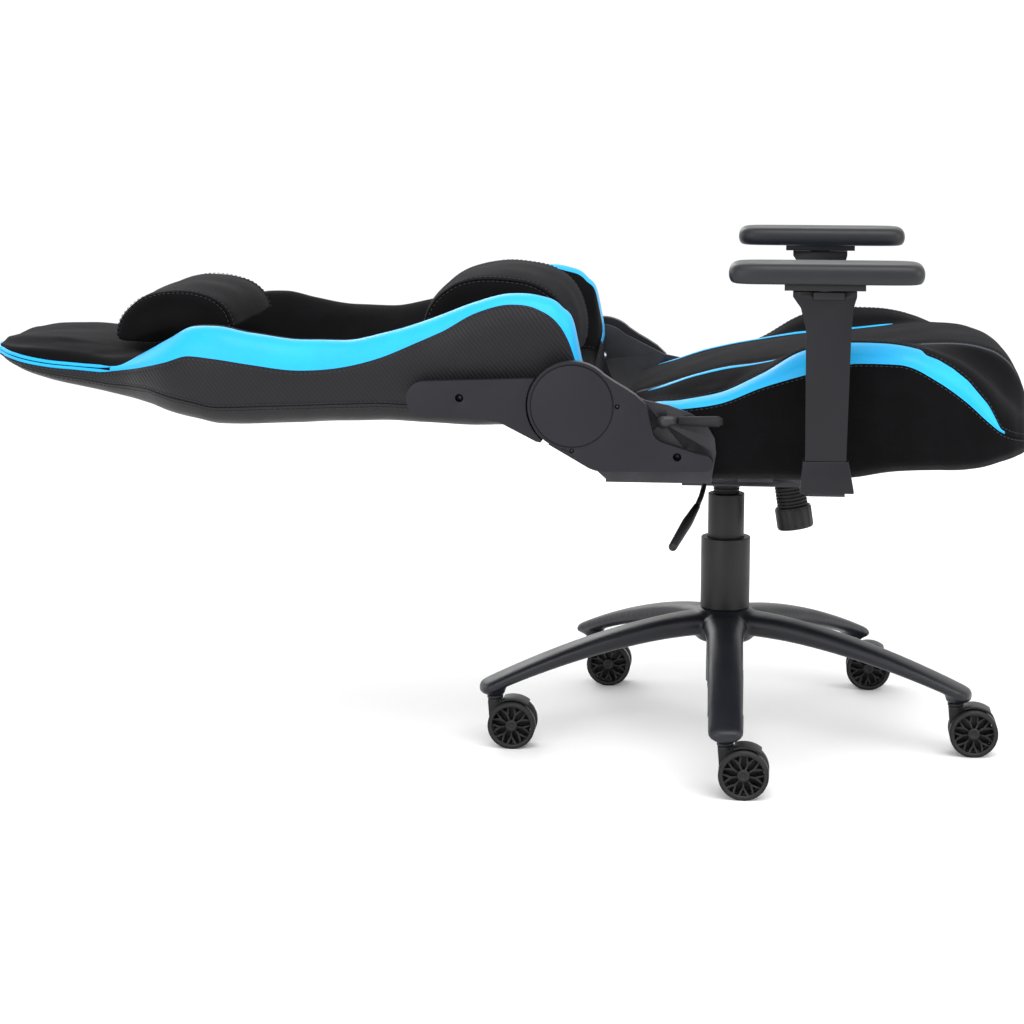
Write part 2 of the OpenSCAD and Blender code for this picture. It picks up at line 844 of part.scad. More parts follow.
module pivot_bolts() {
    head_x = back_plate_x + plate_t + 0.6;
    color(c_steel)
        both_sides()
            translate([seat_plate_x, hinge_y, hinge_z])
                rotate([0, 90, 0]) {
                    cylinder(r = pivot_r, h = head_x - seat_plate_x);
                    translate([0, 0, head_x - seat_plate_x]) cylinder(r = pivot_r + 5, h = 7);
                }
}

// ---------- Recline lever, on the sitter's right ----------

module recline_lever_arm() {
    arm_t = 3;
    color(c_steel)
        on_side(-1) {
            translate([seat_plate_x, lever_py, lever_pz])
                rotate([0, 90, 0]) cylinder(r = lever_pin_r, h = lever_x + arm_t - seat_plate_x);
            across(lever_x, arm_t) {
                translate([lever_py, lever_pz]) circle(r = 8);
                polygon([
                    [lever_py, lever_pz - 8], [lever_py + 4, lever_pz + 6.5], [lever_py - 8, lever_pz + 9],
                    [lever_py - 20, lever_pz + 7], [lever_py - 20, lever_pz - 3], [lever_py - 10, lever_pz - 4]
                ]);
            }
        }
}

module recline_lever_grip() {
    grip_len = 54;
    grip_r = 7;
    y1 = lever_py - 20.3;
    z = lever_pz + 2;
    color(c_dark)
        on_side(-1)
            hull() {
                translate([lever_x + 1.5, y1, z]) rotate([90, 0, 0]) cylinder(r = grip_r - 1, h = 4, $fn = 32);
                translate([lever_x + 1.5, y1 - grip_len + 8, z])
                    rotate([90, 0, 0]) cylinder(r = grip_r, h = 4, $fn = 32);
                translate([lever_x + 1.5, y1 - grip_len, z])
                    rotate([90, 0, 0]) cylinder(r = grip_r - 3, h = 2, $fn = 32);
            }
}

// ---------- Back ----------

// Back rows: share of the length from the recline end, share of the half width, then heights
// above the recline axis: rear face, middle of the front, bolster crest, outer seam
BACK = [
    [0, 0.881, -33, 17, 45, 35], [0.009, 0.896, -37, 23, 90, 57], [0.031, 0.907, -40, 27, 120, 90],
    [0.067, 0.918, -42, 30, 134, 114], [0.110, 0.925, -43, 32, 137, 121],
    [0.173, 0.933, -43, 35, 125, 107], [0.252, 0.937, -41, 34, 101, 79],
    [0.316, 0.944, -39, 31, 85, 56], [0.381, 0.955, -40, 23, 76, 42], [0.445, 0.970, -42, 15, 76, 38],
    [0.526, 0.993, -44, 10, 85, 46], [0.582, 1, -45, 13, 94, 53], [0.623, 0.989, -39, 19, 92, 56],
    [0.664, 0.948, -33, 25, 76, 46], [0.714, 0.843, -23, 37, 55, 35], [0.743, 0.769, -18, 45, 50, 30],
    [0.788, 0.687, -12, 55, 53, 25], [0.839, 0.634, -5, 62, 58, 26], [0.895, 0.608, 4, 67, 61, 29],
    [0.944, 0.552, 17, 66, 60, 35], [0.974, 0.455, 29, 62, 55, 40], [0.993, 0.328, 39, 57, 52, 44],
    [1, 0.187, 44, 51, 49, 46]
];

function back_y(s) = back_start + back_len * s;
frame_room = 31.5;                // from the rear face to the front cushion, for the frame
function rim_h(r) = r[2] + min(frame_room, 0.5 * (r[5] - r[2]));
function split_h(r) = r[2] + min(frame_room, 0.55 * (r[3] - r[2]));

// Points of one half, from the middle outwards, as [share of half width, height]
function back_front_half(r) = let (c = r[3], k = r[4], e = r[5]) [
    [0.18, c - 1], [0.45, c - 0.4], [0.58, c + 1], [0.67, mix(c, k, 0.4)], [0.76, mix(c, k, 0.8)],
    [0.86, k], [0.94, k - 1], [0.985, mix(k, e, 0.5)], [1, e], [0.99, mix(e, rim_h(r), 0.6)]
];

function mirrored(half, w, y) = concat(
    [for (p = half) [p[0] * w, y, hinge_z + p[1]]],
    [for (i = [len(half) - 1 : -1 : 0]) [-half[i][0] * w, y, hinge_z + half[i][1]]]
);

function back_cushion_ring(r) = mirrored(
    concat(back_front_half(r), [[0.975, rim_h(r) + 0.4], [0.93, rim_h(r) + 0.4], [0.86, split_h(r) + 0.4]]),
    back_half * r[1], back_y(r[0]));

module back_cushion() {
    color(c_fabric) loft([for (r = BACK) back_cushion_ring(r)]);
}

// One skin of the rear panel, t inside its outer face
function rear_skin(r, t) = let (
    w = back_half * r[1], d = rim_h(r) - r[2], step = min(t, d * 0.5), rise = d - step,
    half = [
        [0.975 * w - t, rim_h(r)], [0.95 * w - t, r[2] + step + 0.3 * rise],
        [0.88 * w - t, r[2] + step + 0.05 * rise], [0.4 * w, r[2] + step]
    ]
) concat(
    [for (p = half) [p[0], back_y(r[0]), hinge_z + p[1]]],
    [for (i = [3 : -1 : 0]) [-half[i][0], back_y(r[0]), hinge_z + half[i][1]]]
);

module back_rear_panel() {
    color(c_vinyl)
        loft_shell([for (r = BACK) rear_skin(r, 0)], [for (r = BACK) rear_skin(r, rear_wall)]);
}

// Height of the middle of the frame tube at a share of the back's length
function spine_z(s) = hinge_z + at(BACK, s, 2) + rear_wall + back_tube_r + 3;
function spine(x, s) = [x, back_y(s), spine_z(s)];
spine_side = back_half - 76;
spine_neck = back_half * 0.634 - 51;

module back_frame() {
    joint = 0.5;
    left = [
        spine(spine_side, 0.02), spine(spine_side, 0.11), spine(spine_side, 0.38),
        spine(spine_side, 0.582), spine(spine_neck + 22, 0.743), spine(spine_neck, 0.86)
    ];
    color(c_steel) {
        both_sides() bent_rod(left, back_tube_r);
        for (s = [0.06, 0.5, 0.84]) {
            x = (s > 0.8 ? spine_neck : spine_side) - back_tube_r - joint;
            bar(spine(-x, s), spine(x, s), back_tube_r - 1);
        }
    }
}

module back_webbing() {
    straps = 5;
    strap_w = 40;
    half = spine_side - back_tube_r - 1;
    color(c_dark)
        for (i = [0 : straps - 1]) {
            s = mix(0.11, 0.40, i / (straps - 1));
            translate([-half, back_y(s) - strap_w / 2, spine_z(s) - 1]) cube([2 * half, strap_w, 2]);
        }
}

bracket_end = hinge_y + 199;

module back_plate_outline() {
    translate([hinge_y, hinge_z]) circle(r = cap_r - 8);
    polygon([
        [hinge_y + 20, hinge_z + 34], [hinge_y + 60, hinge_z + 26], [bracket_end, hinge_z + 22],
        [bracket_end + 4, hinge_z], [bracket_end, hinge_z - 12], [hinge_y + 100, hinge_z - 14],
        [hinge_y + 40, hinge_z - 38], [hinge_y + 10, hinge_z - 38]
    ]);
}

module back_brackets() {
    color(c_steel)
        both_sides()
            difference() {
                across(back_plate_x, plate_t) back_plate_outline();
                translate([back_plate_x - 1, hinge_y, hinge_z])
                    rotate([0, 90, 0]) cylinder(r = pivot_r + running, h = plate_t + 2);
            }
}

back_screw_y = hinge_y + 145;
back_screw_z = hinge_z + 8;
back_screw_r = 5.4;

module back_cover_outline() {
    difference() {
        union() {
            translate([bracket_end - 8, hinge_z + 6]) circle(r = 23);
            polygon([
                [hinge_y + 20, hinge_z + 34], [hinge_y + 62, hinge_z + 34], [bracket_end - 8, hinge_z + 29],
                [bracket_end - 8, hinge_z - 17], [hinge_y + 152, hinge_z - 17],
                [hinge_y + 118, hinge_z - 19], [hinge_y + 93, hinge_z - 23], [hinge_y + 46, hinge_z - 47],
                [hinge_y + 40, hinge_z - 48], [hinge_y + 20, hinge_z - 20]
            ]);
        }
        translate([hinge_y, hinge_z]) circle(r = ring_r + cover_gap, $fn = 96);
    }
}

module back_bracket_cover(side) {
    color(c_plastic)
        on_side(side)
            difference() {
                across(cover_x, cover_t - 2) back_cover_outline();
                translate([cover_x - 1, back_screw_y, back_screw_z])
                    rotate([0, 90, 0]) cylinder(r = back_screw_r, h = cover_t + 2);
            }
}

module back_screws() {
    color(c_dark)
        both_sides()
            translate([back_plate_x + plate_t, back_screw_y, back_screw_z])
                rotate([0, 90, 0]) {
                    cylinder(r = 2.5, h = 8);
                    translate([0, 0, 4]) cylinder(r = back_screw_r - 0.3, h = 4);
                }
}

module recliner_gears() {
    teeth = 24;
    gear_r = cap_r - 16;
    color(c_steel)
        both_sides()
            translate([gear_x, hinge_y, hinge_z])
                rotate([0, 90, 0])
                    difference() {
                        cylinder(r = gear_r, h = gear_t - 0.4);
                        translate([0, 0, -1]) cylinder(r = pivot_r + running, h = gear_t + 2);
                        for (i = [0 : teeth - 1])
                            rotate([0, 0, i * 360 / teeth])
                                translate([gear_r + 0.6, 0, -1]) cylinder(r = 1.8, h = gear_t + 2, $fn = 12);
                    }
}

// ---------- Pillows ----------

// Side outline scaled towards its seat on the backrest at each station across the chair
module pillow(outline, half, base) {
    stations = [[-1, 0.72], [-0.97, 0.86], [-0.86, 0.95], [-0.5, 1], [0, 1.02]];
    all_x = concat(stations, [for (i = [3 : -1 : 0]) [-stations[i][0], stations[i][1]]]);
    loft([
        for (s = all_x)
            [for (p = outline) [s[0] * half, base[0] + (p[0] - base[0]) * s[1], base[1] + (p[1] - base[1]) * s[1]]]
    ]);
}

head_pillow_y = back_y(0.681);
module head_pillow() {
    z = hinge_z;
    y = head_pillow_y;
    color(c_fabric)
        pillow([
            [y - 84, z + 82], [y - 78, z + 100], [y - 60, z + 118], [y - 36, z + 127], [y - 4, z + 131],
            [y + 32, z + 126], [y + 62, z + 110], [y + 80, z + 88], [y + 84, z + 64], [y + 60, z + 60],
            [y + 10, z + 60], [y - 50, z + 66]
        ], 140, [y, z + 66]);
}

module lumbar_pillow() {
    z = hinge_z;
    y = hinge_y;
    color(c_fabric)
        pillow([
            [y + 8, z + 42], [y + 7, z + 72], [y + 14, z + 102], [y + 30, z + 128], [y + 56, z + 146],
            [y + 94, z + 155], [y + 138, z + 155], [y + 176, z + 144], [y + 204, z + 120],
            [y + 216, z + 90], [y + 214, z + 58], [y + 190, z + 45], [y + 110, z + 43]
        ], 146, [y + 110, z + 50]);
}

// ---------- Armrests ----------

post_d = 36;
post_t = 5;

module armrest_brackets() {
    inner_x = 120;
    color(c_steel)
        both_sides() {
            translate([inner_x, arm_y - 25, bar_z - bar_t])
                cube([arm_x + post_t / 2 - inner_x, 50, bar_t]);
            translate([arm_x - post_t / 2, arm_y - post_d / 2, bar_z - bar_t])
                cube([post_t, post_d, post_top - bar_z + bar_t]);
        }
}

module armrest_feet() {
    slot = 0.2;
    depth = sleeve_d + 6;
    color(c_plastic)
        both_sides()
            difference() {
                across(arm_x - sleeve_t / 2 - 1, sleeve_t + 2)
                    polygon([
                        [arm_y - depth / 2 - 5, foot_low], [arm_y + depth / 2, foot_low],
                        [arm_y + sleeve_d / 2, foot_top], [arm_y - sleeve_d / 2, foot_top]
                    ]);
                translate([arm_x - post_t / 2 - slot, arm_y - post_d / 2 - slot, foot_low - 1])
                    cube([post_t + 2 * slot, post_d + 2 * slot, foot_top - foot_low + 2]);
            }
}

module sleeve_outline() {
    half = sleeve_d / 2;
    polygon([
        [arm_y - half + 3, sleeve_low], [arm_y + half - 3, sleeve_low],
        [arm_y + half - 1, sleeve_top - 48], [arm_y + half + 6, sleeve_top - 20],
        [arm_y + half + 16, sleeve_top - 6], [arm_y + half + 16, sleeve_top],
        [arm_y - half - 6, sleeve_top], [arm_y - half - 6, sleeve_top - 6],
        [arm_y - half - 2, sleeve_top - 20], [arm_y - half, sleeve_top - 48]
    ]);
}

module armrest_sleeve(side) {
    roof = 14;
    button_gap = 0.4;
    inner_d = sleeve_d - 2 * sleeve_wall - 6;
    inner_t = sleeve_t - 2 * sleeve_wall;
    color(c_plastic)
        on_side(side)
            difference() {
                across(arm_x - sleeve_t / 2, sleeve_t) sleeve_outline();
                translate([arm_x - inner_t / 2, arm_y - inner_d / 2, sleeve_low - 1])
                    cube([inner_t, inner_d, sleeve_top - sleeve_low - roof]);
                translate([
                    arm_x + sleeve_t / 2 - 8, arm_y - button_w / 2 - button_gap,
                    button_z - button_h / 2 - button_gap
                ])
                    cube([20, button_w + 2 * button_gap, button_h + 2 * button_gap]);
            }
}

module height_button(side) {
    color(c_dark)
        on_side(side)
            across(arm_x + sleeve_t / 2 - 4.5, 6)
                translate([arm_y - button_w / 2, button_z - button_h / 2]) square([button_w, button_h]);
}

module pad_turn_plate(side) {
    color(c_dark)
        on_side(side) {
            translate([arm_x, arm_y + 5, sleeve_top + 0.4]) cylinder(r = 15, h = 2);
            translate([arm_x - 26, arm_y - 45, sleeve_top + 2.4])
                cube([52, 100, pad_z - 0.4 - sleeve_top - 2.4]);
        }
}

module armrest_pad(side) {
    round_r = 20;
    half = pad_w / 2;
    edge = 7;
    color(c_pad)
        on_side(side)
            hull() {
                for (x = [-1, 1]) for (y = [-1, 1]) {
                    translate([
                        arm_x - 2 + x * (half - round_r), pad_y + y * (pad_len / 2 - round_r), pad_z + edge
                    ])
                        cylinder(r = round_r, h = pad_t - 2 * edge, $fn = 32);
                    translate([
                        arm_x - 2 + x * (half - round_r), pad_y + y * (pad_len / 2 - round_r - 2), pad_z
                    ])
                        cylinder(r = round_r - edge, h = pad_t, $fn = 32);
                }
            }
}

// ---------- Nodes ----------

star_base();
gas_outer_cylinder();
dust_cover_lower();
stem_sockets();
caster_stems();
gas_piston();
dust_cover_middle();
ribbed_collar();
mechanism_housing();
tilt_spring();
tension_bellows();
tension_knob();
tilt_lock_slider();
height_lever_rod();
height_lever_paddle();
mechanism_top_plate();
mounting_bolts();
tilt_pivot_pin();
seat_frame();
seat_webbing();
seat_cushion();
seat_under_cover();
seat_brackets();
seat_bracket_cover(1);  // seat_bracket_cover_left
seat_bracket_cover(-1);  // seat_bracket_cover_right
pivot_bolts();
bracket_screws();
armrest_brackets();
armrest_feet();
back_frame();
back_webbing();
back_cushion();
back_rear_panel();
back_brackets();
back_bracket_cover(1);  // back_bracket_cover_left
back_bracket_cover(-1);  // back_bracket_cover_right
back_screws();
recliner_gears();
head_pillow();
lumbar_pillow();
recline_lever_arm();
recline_lever_grip();
armrest_sleeve(1);  // armrest_sleeve_left
armrest_sleeve(-1);  // armrest_sleeve_right
height_button(1);  // height_button_left
height_button(-1);  // height_button_right
pad_turn_plate(1);  // pad_turn_plate_left
pad_turn_plate(-1);  // pad_turn_plate_right
armrest_pad(1);  // armrest_pad_left
armrest_pad(-1);  // armrest_pad_right
caster_fork(0);  // caster_fork_1
caster_fork(1);  // caster_fork_2
caster_fork(2);  // caster_fork_3
caster_fork(3);  // caster_fork_4
caster_fork(4);  // caster_fork_5
caster_wheels(0);  // caster_wheels_1
caster_wheels(1);  // caster_wheels_2
caster_wheels(2);  // caster_wheels_3
caster_wheels(3);  // caster_wheels_4
caster_wheels(4);  // caster_wheels_5
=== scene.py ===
"""Looks for the reclined gaming chair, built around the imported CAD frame."""

import math

import bmesh
import bpy
import numpy as np
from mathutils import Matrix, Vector
from mathutils.bvhtree import BVHTree


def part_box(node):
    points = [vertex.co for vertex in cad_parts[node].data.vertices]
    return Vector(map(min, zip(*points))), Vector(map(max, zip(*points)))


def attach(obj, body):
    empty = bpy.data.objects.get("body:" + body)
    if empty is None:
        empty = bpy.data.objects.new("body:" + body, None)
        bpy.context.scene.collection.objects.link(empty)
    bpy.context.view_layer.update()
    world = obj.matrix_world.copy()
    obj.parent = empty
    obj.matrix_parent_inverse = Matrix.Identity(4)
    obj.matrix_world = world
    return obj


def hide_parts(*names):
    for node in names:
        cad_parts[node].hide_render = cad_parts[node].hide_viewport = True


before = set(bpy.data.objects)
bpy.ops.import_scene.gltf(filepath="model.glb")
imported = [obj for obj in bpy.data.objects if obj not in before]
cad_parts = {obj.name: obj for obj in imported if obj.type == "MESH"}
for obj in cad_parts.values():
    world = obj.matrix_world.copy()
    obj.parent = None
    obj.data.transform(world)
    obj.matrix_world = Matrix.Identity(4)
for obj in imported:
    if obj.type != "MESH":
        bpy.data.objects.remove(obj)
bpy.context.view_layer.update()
scene = bpy.context.scene

# ---------- Camera, floor and light ----------

CAM_AT = Vector((-3.6277, -0.0816, 0.9633))
CAM_YAW, CAM_PITCH, CAM_LENS = 0.1043, 0.1785, 93.3


def make_camera():
    cam = bpy.data.objects.new("camera", bpy.data.cameras.new("camera"))
    scene.collection.objects.link(cam)
    aim = Vector((
        math.cos(CAM_PITCH) * math.cos(CAM_YAW),
        math.cos(CAM_PITCH) * math.sin(CAM_YAW),
        -math.sin(CAM_PITCH),
    ))
    cam.location = CAM_AT
    cam.rotation_mode = "QUATERNION"
    cam.rotation_quaternion = aim.to_track_quat("-Z", "Y")
    cam.data.lens = CAM_LENS
    cam.data.sensor_width = 36
    cam.data.clip_end = 100
    scene.camera = cam


def area_light(name, at, target, size, watts):
    light = bpy.data.objects.new(name, bpy.data.lights.new(name, "AREA"))
    light.data.shape = "RECTANGLE"
    light.data.size, light.data.size_y = size
    light.data.energy = watts
    light.location = at
    light.rotation_mode = "QUATERNION"
    light.rotation_quaternion = (Vector(target) - Vector(at)).to_track_quat("-Z", "Y")
    scene.collection.objects.link(light)


make_camera()
scene.view_settings.view_transform = "Standard"
area_light("key", (-1.6, -0.6, 2.9), (0, 0.1, 0.4), (2.6, 2.0), 60)
area_light("side", (-3.2, 1.8, 1.3), (0, 0.3, 0.4), (1.6, 1.6), 22)
area_light("front", (-1.2, -3.0, 1.4), (0, 0, 0.4), (1.6, 1.6), 22)
area_light("back", (2.6, 1.4, 2.0), (0, 0.2, 0.5), (2.0, 1.6), 30)
area_light("behind", (0.8, 3.6, 1.5), (0, 0.4, 0.5), (1.6, 1.4), 16)

world = bpy.data.worlds.new("studio")
scene.world = world
world.use_nodes = True
world.node_tree.nodes["Background"].inputs["Color"].default_value = (1, 1, 1, 1)
world.node_tree.nodes["Background"].inputs["Strength"].default_value = 1.06

# ---------- Materials ----------


class Tree:
    """Short way to write a procedural material: every call adds one node and returns its output."""

    def __init__(self, name):
        self.mat = bpy.data.materials.new(name)
        self.mat.use_nodes = True
        self.nodes, self.links = self.mat.node_tree.nodes, self.mat.node_tree.links
        self.shader = self.nodes["Principled BSDF"]
        self.place = self.add("ShaderNodeTexCoord").outputs["Object"]

    def add(self, kind, links=(), **values):
        node = self.nodes.new(kind)
        for key, value in values.items():
            if key in node.inputs:
                node.inputs[key].default_value = value
            else:
                setattr(node, key, value)
        for key, source in dict(links).items():
            self.links.new(source, node.inputs[key])
        return node

    def noise(self, scale, detail=3.0, rough=0.55, place=None):
        node = self.add("ShaderNodeTexNoise", {"Vector": place or self.place})
        node.inputs["Scale"].default_value = scale
        node.inputs["Detail"].default_value = detail
        node.inputs["Roughness"].default_value = rough
        return node.outputs["Fac"]

    def cells(self, scale):
        node = self.add("ShaderNodeTexVoronoi", {"Vector": self.place}, feature="SMOOTH_F1")
        node.inputs["Scale"].default_value = scale
        return node.outputs["Distance"]

    def turned(self, angles, stretch=(1, 1, 1)):
        node = self.add("ShaderNodeMapping", {"Vector": self.place})
        node.inputs["Rotation"].default_value = [math.radians(a) for a in angles]
        node.inputs["Scale"].default_value = stretch
        return node.outputs["Vector"]

    def bands(self, pitch, place=None, axis="X", wobble=0.0):
        node = self.add(
            "ShaderNodeTexWave", {"Vector": place or self.place}, wave_type="BANDS", bands_direction=axis
        )
        node.inputs["Scale"].default_value = 2 * math.pi / (20 * pitch)
        node.inputs["Distortion"].default_value = wobble
        return node.outputs["Fac"]

    def math(self, kind, a, b):
        node = self.add("ShaderNodeMath", operation=kind)
        for socket, value in zip(node.inputs, (a, b)):
            if isinstance(value, (int, float)):
                socket.default_value = value
            else:
                self.links.new(value, socket)
        return node.outputs[0]

    def ramp(self, source, stops):
        node = self.add("ShaderNodeValToRGB", {"Fac": source})
        ramp = node.color_ramp
        while len(ramp.elements) < len(stops):
            ramp.elements.new(0.5)
        for element, (at, color) in zip(ramp.elements, stops):
            element.position = at
            element.color = (*color, 1)
        return node.outputs["Color"]

    def spread(self, source, low, high):
        node = self.add("ShaderNodeMapRange", {"Value": source})
        node.inputs["From Min"].default_value = 0.3
        node.inputs["From Max"].default_value = 0.7
        node.inputs["To Min"].default_value = low
        node.inputs["To Max"].default_value = high
        return node.outputs["Result"]

    def bump(self, height, distance, strength=1.0, below=None):
        links = {"Height": height}
        if below is not None:
            links["Normal"] = below
        node = self.add("ShaderNodeBump", links)
        node.inputs["Distance"].default_value = distance
        node.inputs["Strength"].default_value = strength
        return node.outputs["Normal"]

    def finish(self, color, rough, normal, **sockets):
        self.links.new(color, self.shader.inputs["Base Color"])
        self.links.new(rough, self.shader.inputs["Roughness"])
        self.links.new(normal, self.shader.inputs["Normal"])
        for key, value in sockets.items():
            self.shader.inputs[key.replace("_", " ")].default_value = value
        return self.mat


def shades(color, spread):
    return [tuple(c * (1 - spread) for c in color), tuple(min(1, c * (1 + spread)) for c in color)]


def suede(name, color):
    """Short brushed nap: patches lean either way, fine fibres, soft sheen."""
    t = Tree(name)
    nap = t.noise(14, 4, 0.6)
    fibre = t.noise(1400, 2, 0.7, t.turned((0, 0, 0), (1, 0.35, 1)))
    patch = t.math("ADD", t.math("MULTIPLY", nap, 0.7), t.math("MULTIPLY", fibre, 0.3))
    low, high = shades(color, 0.45)
    rough = t.spread(nap, 0.82, 0.97)
    soft = t.bump(t.noise(32, 3), 0.0016, 0.5)
    fine = t.bump(fibre, 0.0004, 0.55, soft)
    return t.finish(
        t.ramp(patch, [(0.35, low), (0.65, high)]), rough, fine,
        Sheen_Weight=0.06, Sheen_Roughness=0.45, Sheen_Tint=(0.42, 0.42, 0.46, 1), Specular_IOR_Level=0.06,
    )


def leather(name, color, rough_range, grain=520, depth=0.00035, coat=0.0, spread=0.12, spec=0.3):
    """Coated vinyl: pebble grain, creases, slight gloss changes."""
    t = Tree(name)
    pebble = t.cells(grain)
    low, high = shades(color, spread)
    worn = t.noise(18, 4)
    tone = t.math("ADD", t.math("MULTIPLY", worn, 0.8), t.math("MULTIPLY", pebble, 0.2))
    creases = t.bump(t.noise(60, 4, 0.6), 0.0009, 0.35)
    return t.finish(
        t.ramp(tone, [(0.3, low), (0.7, high)]), t.spread(worn, *rough_range),
        t.bump(pebble, depth, 0.7, creases), Coat_Weight=coat, Coat_Roughness=0.35, Specular_IOR_Level=spec,
    )


def carbon(name, color):
    """Vinyl embossed with a fine diagonal twill."""
    t = Tree(name)
    rib = t.bands(0.0046, t.turned((38, 0, 0)), "Y")
    cross = t.bands(0.0017, t.turned((-52, 0, 0)), "Y")
    twill = t.math("ADD", t.math("MULTIPLY", rib, 0.85), t.math("MULTIPLY", cross, 0.15))
    worn = t.noise(16, 3)
    low, high = shades(color, 0.38)
    creases = t.bump(t.noise(40, 3), 0.0012, 0.3)
    return t.finish(
        t.ramp(twill, [(0.1, low), (0.8, high)]), t.spread(worn, 0.36, 0.5),
        t.bump(twill, 0.0004, 0.6, creases), Specular_IOR_Level=0.25,
    )


def plastic(name, color, rough_range, grain=1100, depth=0.00018, spread=0.14, spec=0.35):
    """Moulded plastic with a spark-eroded texture and rubbed patches."""
    t = Tree(name)
    texture = t.noise(grain, 2, 0.6)
    rubbed = t.noise(11, 5, 0.6)
    low, high = shades(color, spread)
    flow = t.bump(t.noise(45, 2), 0.0004, 0.25)
    return t.finish(
        t.ramp(rubbed, [(0.3, low), (0.7, high)]), t.spread(rubbed, *rough_range),
        t.bump(texture, depth, 0.6, flow), Specular_IOR_Level=spec,
    )


def metal(name, color, rough_range, metallic=1.0, brushed=(1, 1, 14)):
    """Steel: drawn lines for bright parts, fine powder for painted ones."""
    t = Tree(name)
    lines = t.noise(160, 4, 0.6, t.turned((0, 0, 0), brushed))
    stain = t.noise(20, 4)
    low, high = shades(color, 0.2)
    return t.finish(
        t.ramp(stain, [(0.3, low), (0.7, high)]), t.spread(lines, *rough_range),
        t.bump(lines, 0.00008, 0.5), Metallic=metallic,
    )


def weave(name, color, pitch):
    """Plain woven cloth or webbing."""
    t = Tree(name)
    warp, weft = t.bands(pitch, axis="X"), t.bands(pitch, axis="Y")
    cloth = t.math("MAXIMUM", t.math("MULTIPLY", warp, 0.9), weft)
    low, high = shades(color, 0.4)
    return t.finish(
        t.ramp(cloth, [(0.2, low), (0.9, high)]), t.spread(t.noise(30), 0.75, 0.92),
        t.bump(cloth, 0.0004, 0.7), Sheen_Weight=0.02, Sheen_Roughness=0.5, Specular_IOR_Level=0.08,
    )


SUEDE = suede("suede_black", (0.0036, 0.0036, 0.0041))
SUEDE_PILLOW = suede("suede_pillow", (0.0032, 0.0032, 0.0036))
BLUE = leather("vinyl_blue", (0.008, 0.40, 0.80), (0.38, 0.5), 420, 0.0003, 0.05, 0.06)
PIPING = leather("vinyl_piping", (0.055, 0.065, 0.078), (0.4, 0.55), 500, 0.0002, 0.0, 0.06)
CARBON = carbon("vinyl_carbon", (0.006, 0.006, 0.0075))
VINYL = leather("vinyl_black", (0.0055, 0.0055, 0.0068), (0.42, 0.58), 480, 0.0004)
COVER = plastic("plastic_cover", (0.0085, 0.0085, 0.0125), (0.38, 0.50), spec=0.26)
BASE = plastic("paint_base", (0.009, 0.0095, 0.0135), (0.33, 0.45), 1500, 0.0001, spec=0.34)
DARK = plastic("plastic_dark", (0.006, 0.006, 0.0072), (0.38, 0.55), 900, 0.0002)
SLEEVE = plastic("plastic_sleeve", (0.0065, 0.0065, 0.0095), (0.36, 0.50), 1300, 0.00015, spec=0.26)
PAD = leather("pad_skin", (0.009, 0.0095, 0.0125), (0.36, 0.46), 900, 0.00012, 0.05, 0.1, 0.34)
RUBBER = plastic("rubber_black", (0.008, 0.008, 0.009), (0.55, 0.72), 700, 0.0003)
TYRE = plastic("wheel_tread", (0.0055, 0.0055, 0.0065), (0.40, 0.58), 800, 0.0002)
STEEL_DARK = metal("steel_dark", (0.035, 0.035, 0.04), (0.35, 0.5), 0.6)
STEEL = metal("steel_bright", (0.42, 0.43, 0.45), (0.22, 0.38))
WEBBING = weave("webbing", (0.012, 0.012, 0.013), 0.0022)
LINING = weave("under_cloth", (0.003, 0.003, 0.0035), 0.0028)
THREAD = leather("thread_grey", (0.035, 0.035, 0.04), (0.6, 0.75), 1500, 0.0001)


def floor_material():
    t = Tree("floor_paper")
    faint = t.noise(5, 3)
    return t.finish(
        t.ramp(faint, [(0.3, (0.95, 0.95, 0.95)), (0.7, (0.965, 0.965, 0.965))]), t.spread(faint, 0.7, 0.8),
        t.bump(t.noise(300), 0.0001, 0.2), Specular_IOR_Level=0.2,
    )


# ---------- Mesh helpers ----------


def new_object(name, points, faces, mats, face_mats=None, smooth=True):
    mesh = bpy.data.meshes.new(name)
    mesh.from_pydata([tuple(p) for p in points], [], [tuple(f) for f in faces])
    for mat in mats:
        mesh.materials.append(mat)
    if face_mats is not None:
        mesh.polygons.foreach_set("material_index", np.asarray(face_mats, dtype=np.int32))
    mesh.polygons.foreach_set("use_smooth", [smooth] * len(mesh.polygons))
    mesh.validate()
    obj = bpy.data.objects.new(name, mesh)
    scene.collection.objects.link(obj)
    return obj


def outward(obj):
    bm = bmesh.new()
    bm.from_mesh(obj.data)
    bmesh.ops.recalc_face_normals(bm, faces=bm.faces)
    bm.to_mesh(obj.data)
    bm.free()
    return obj


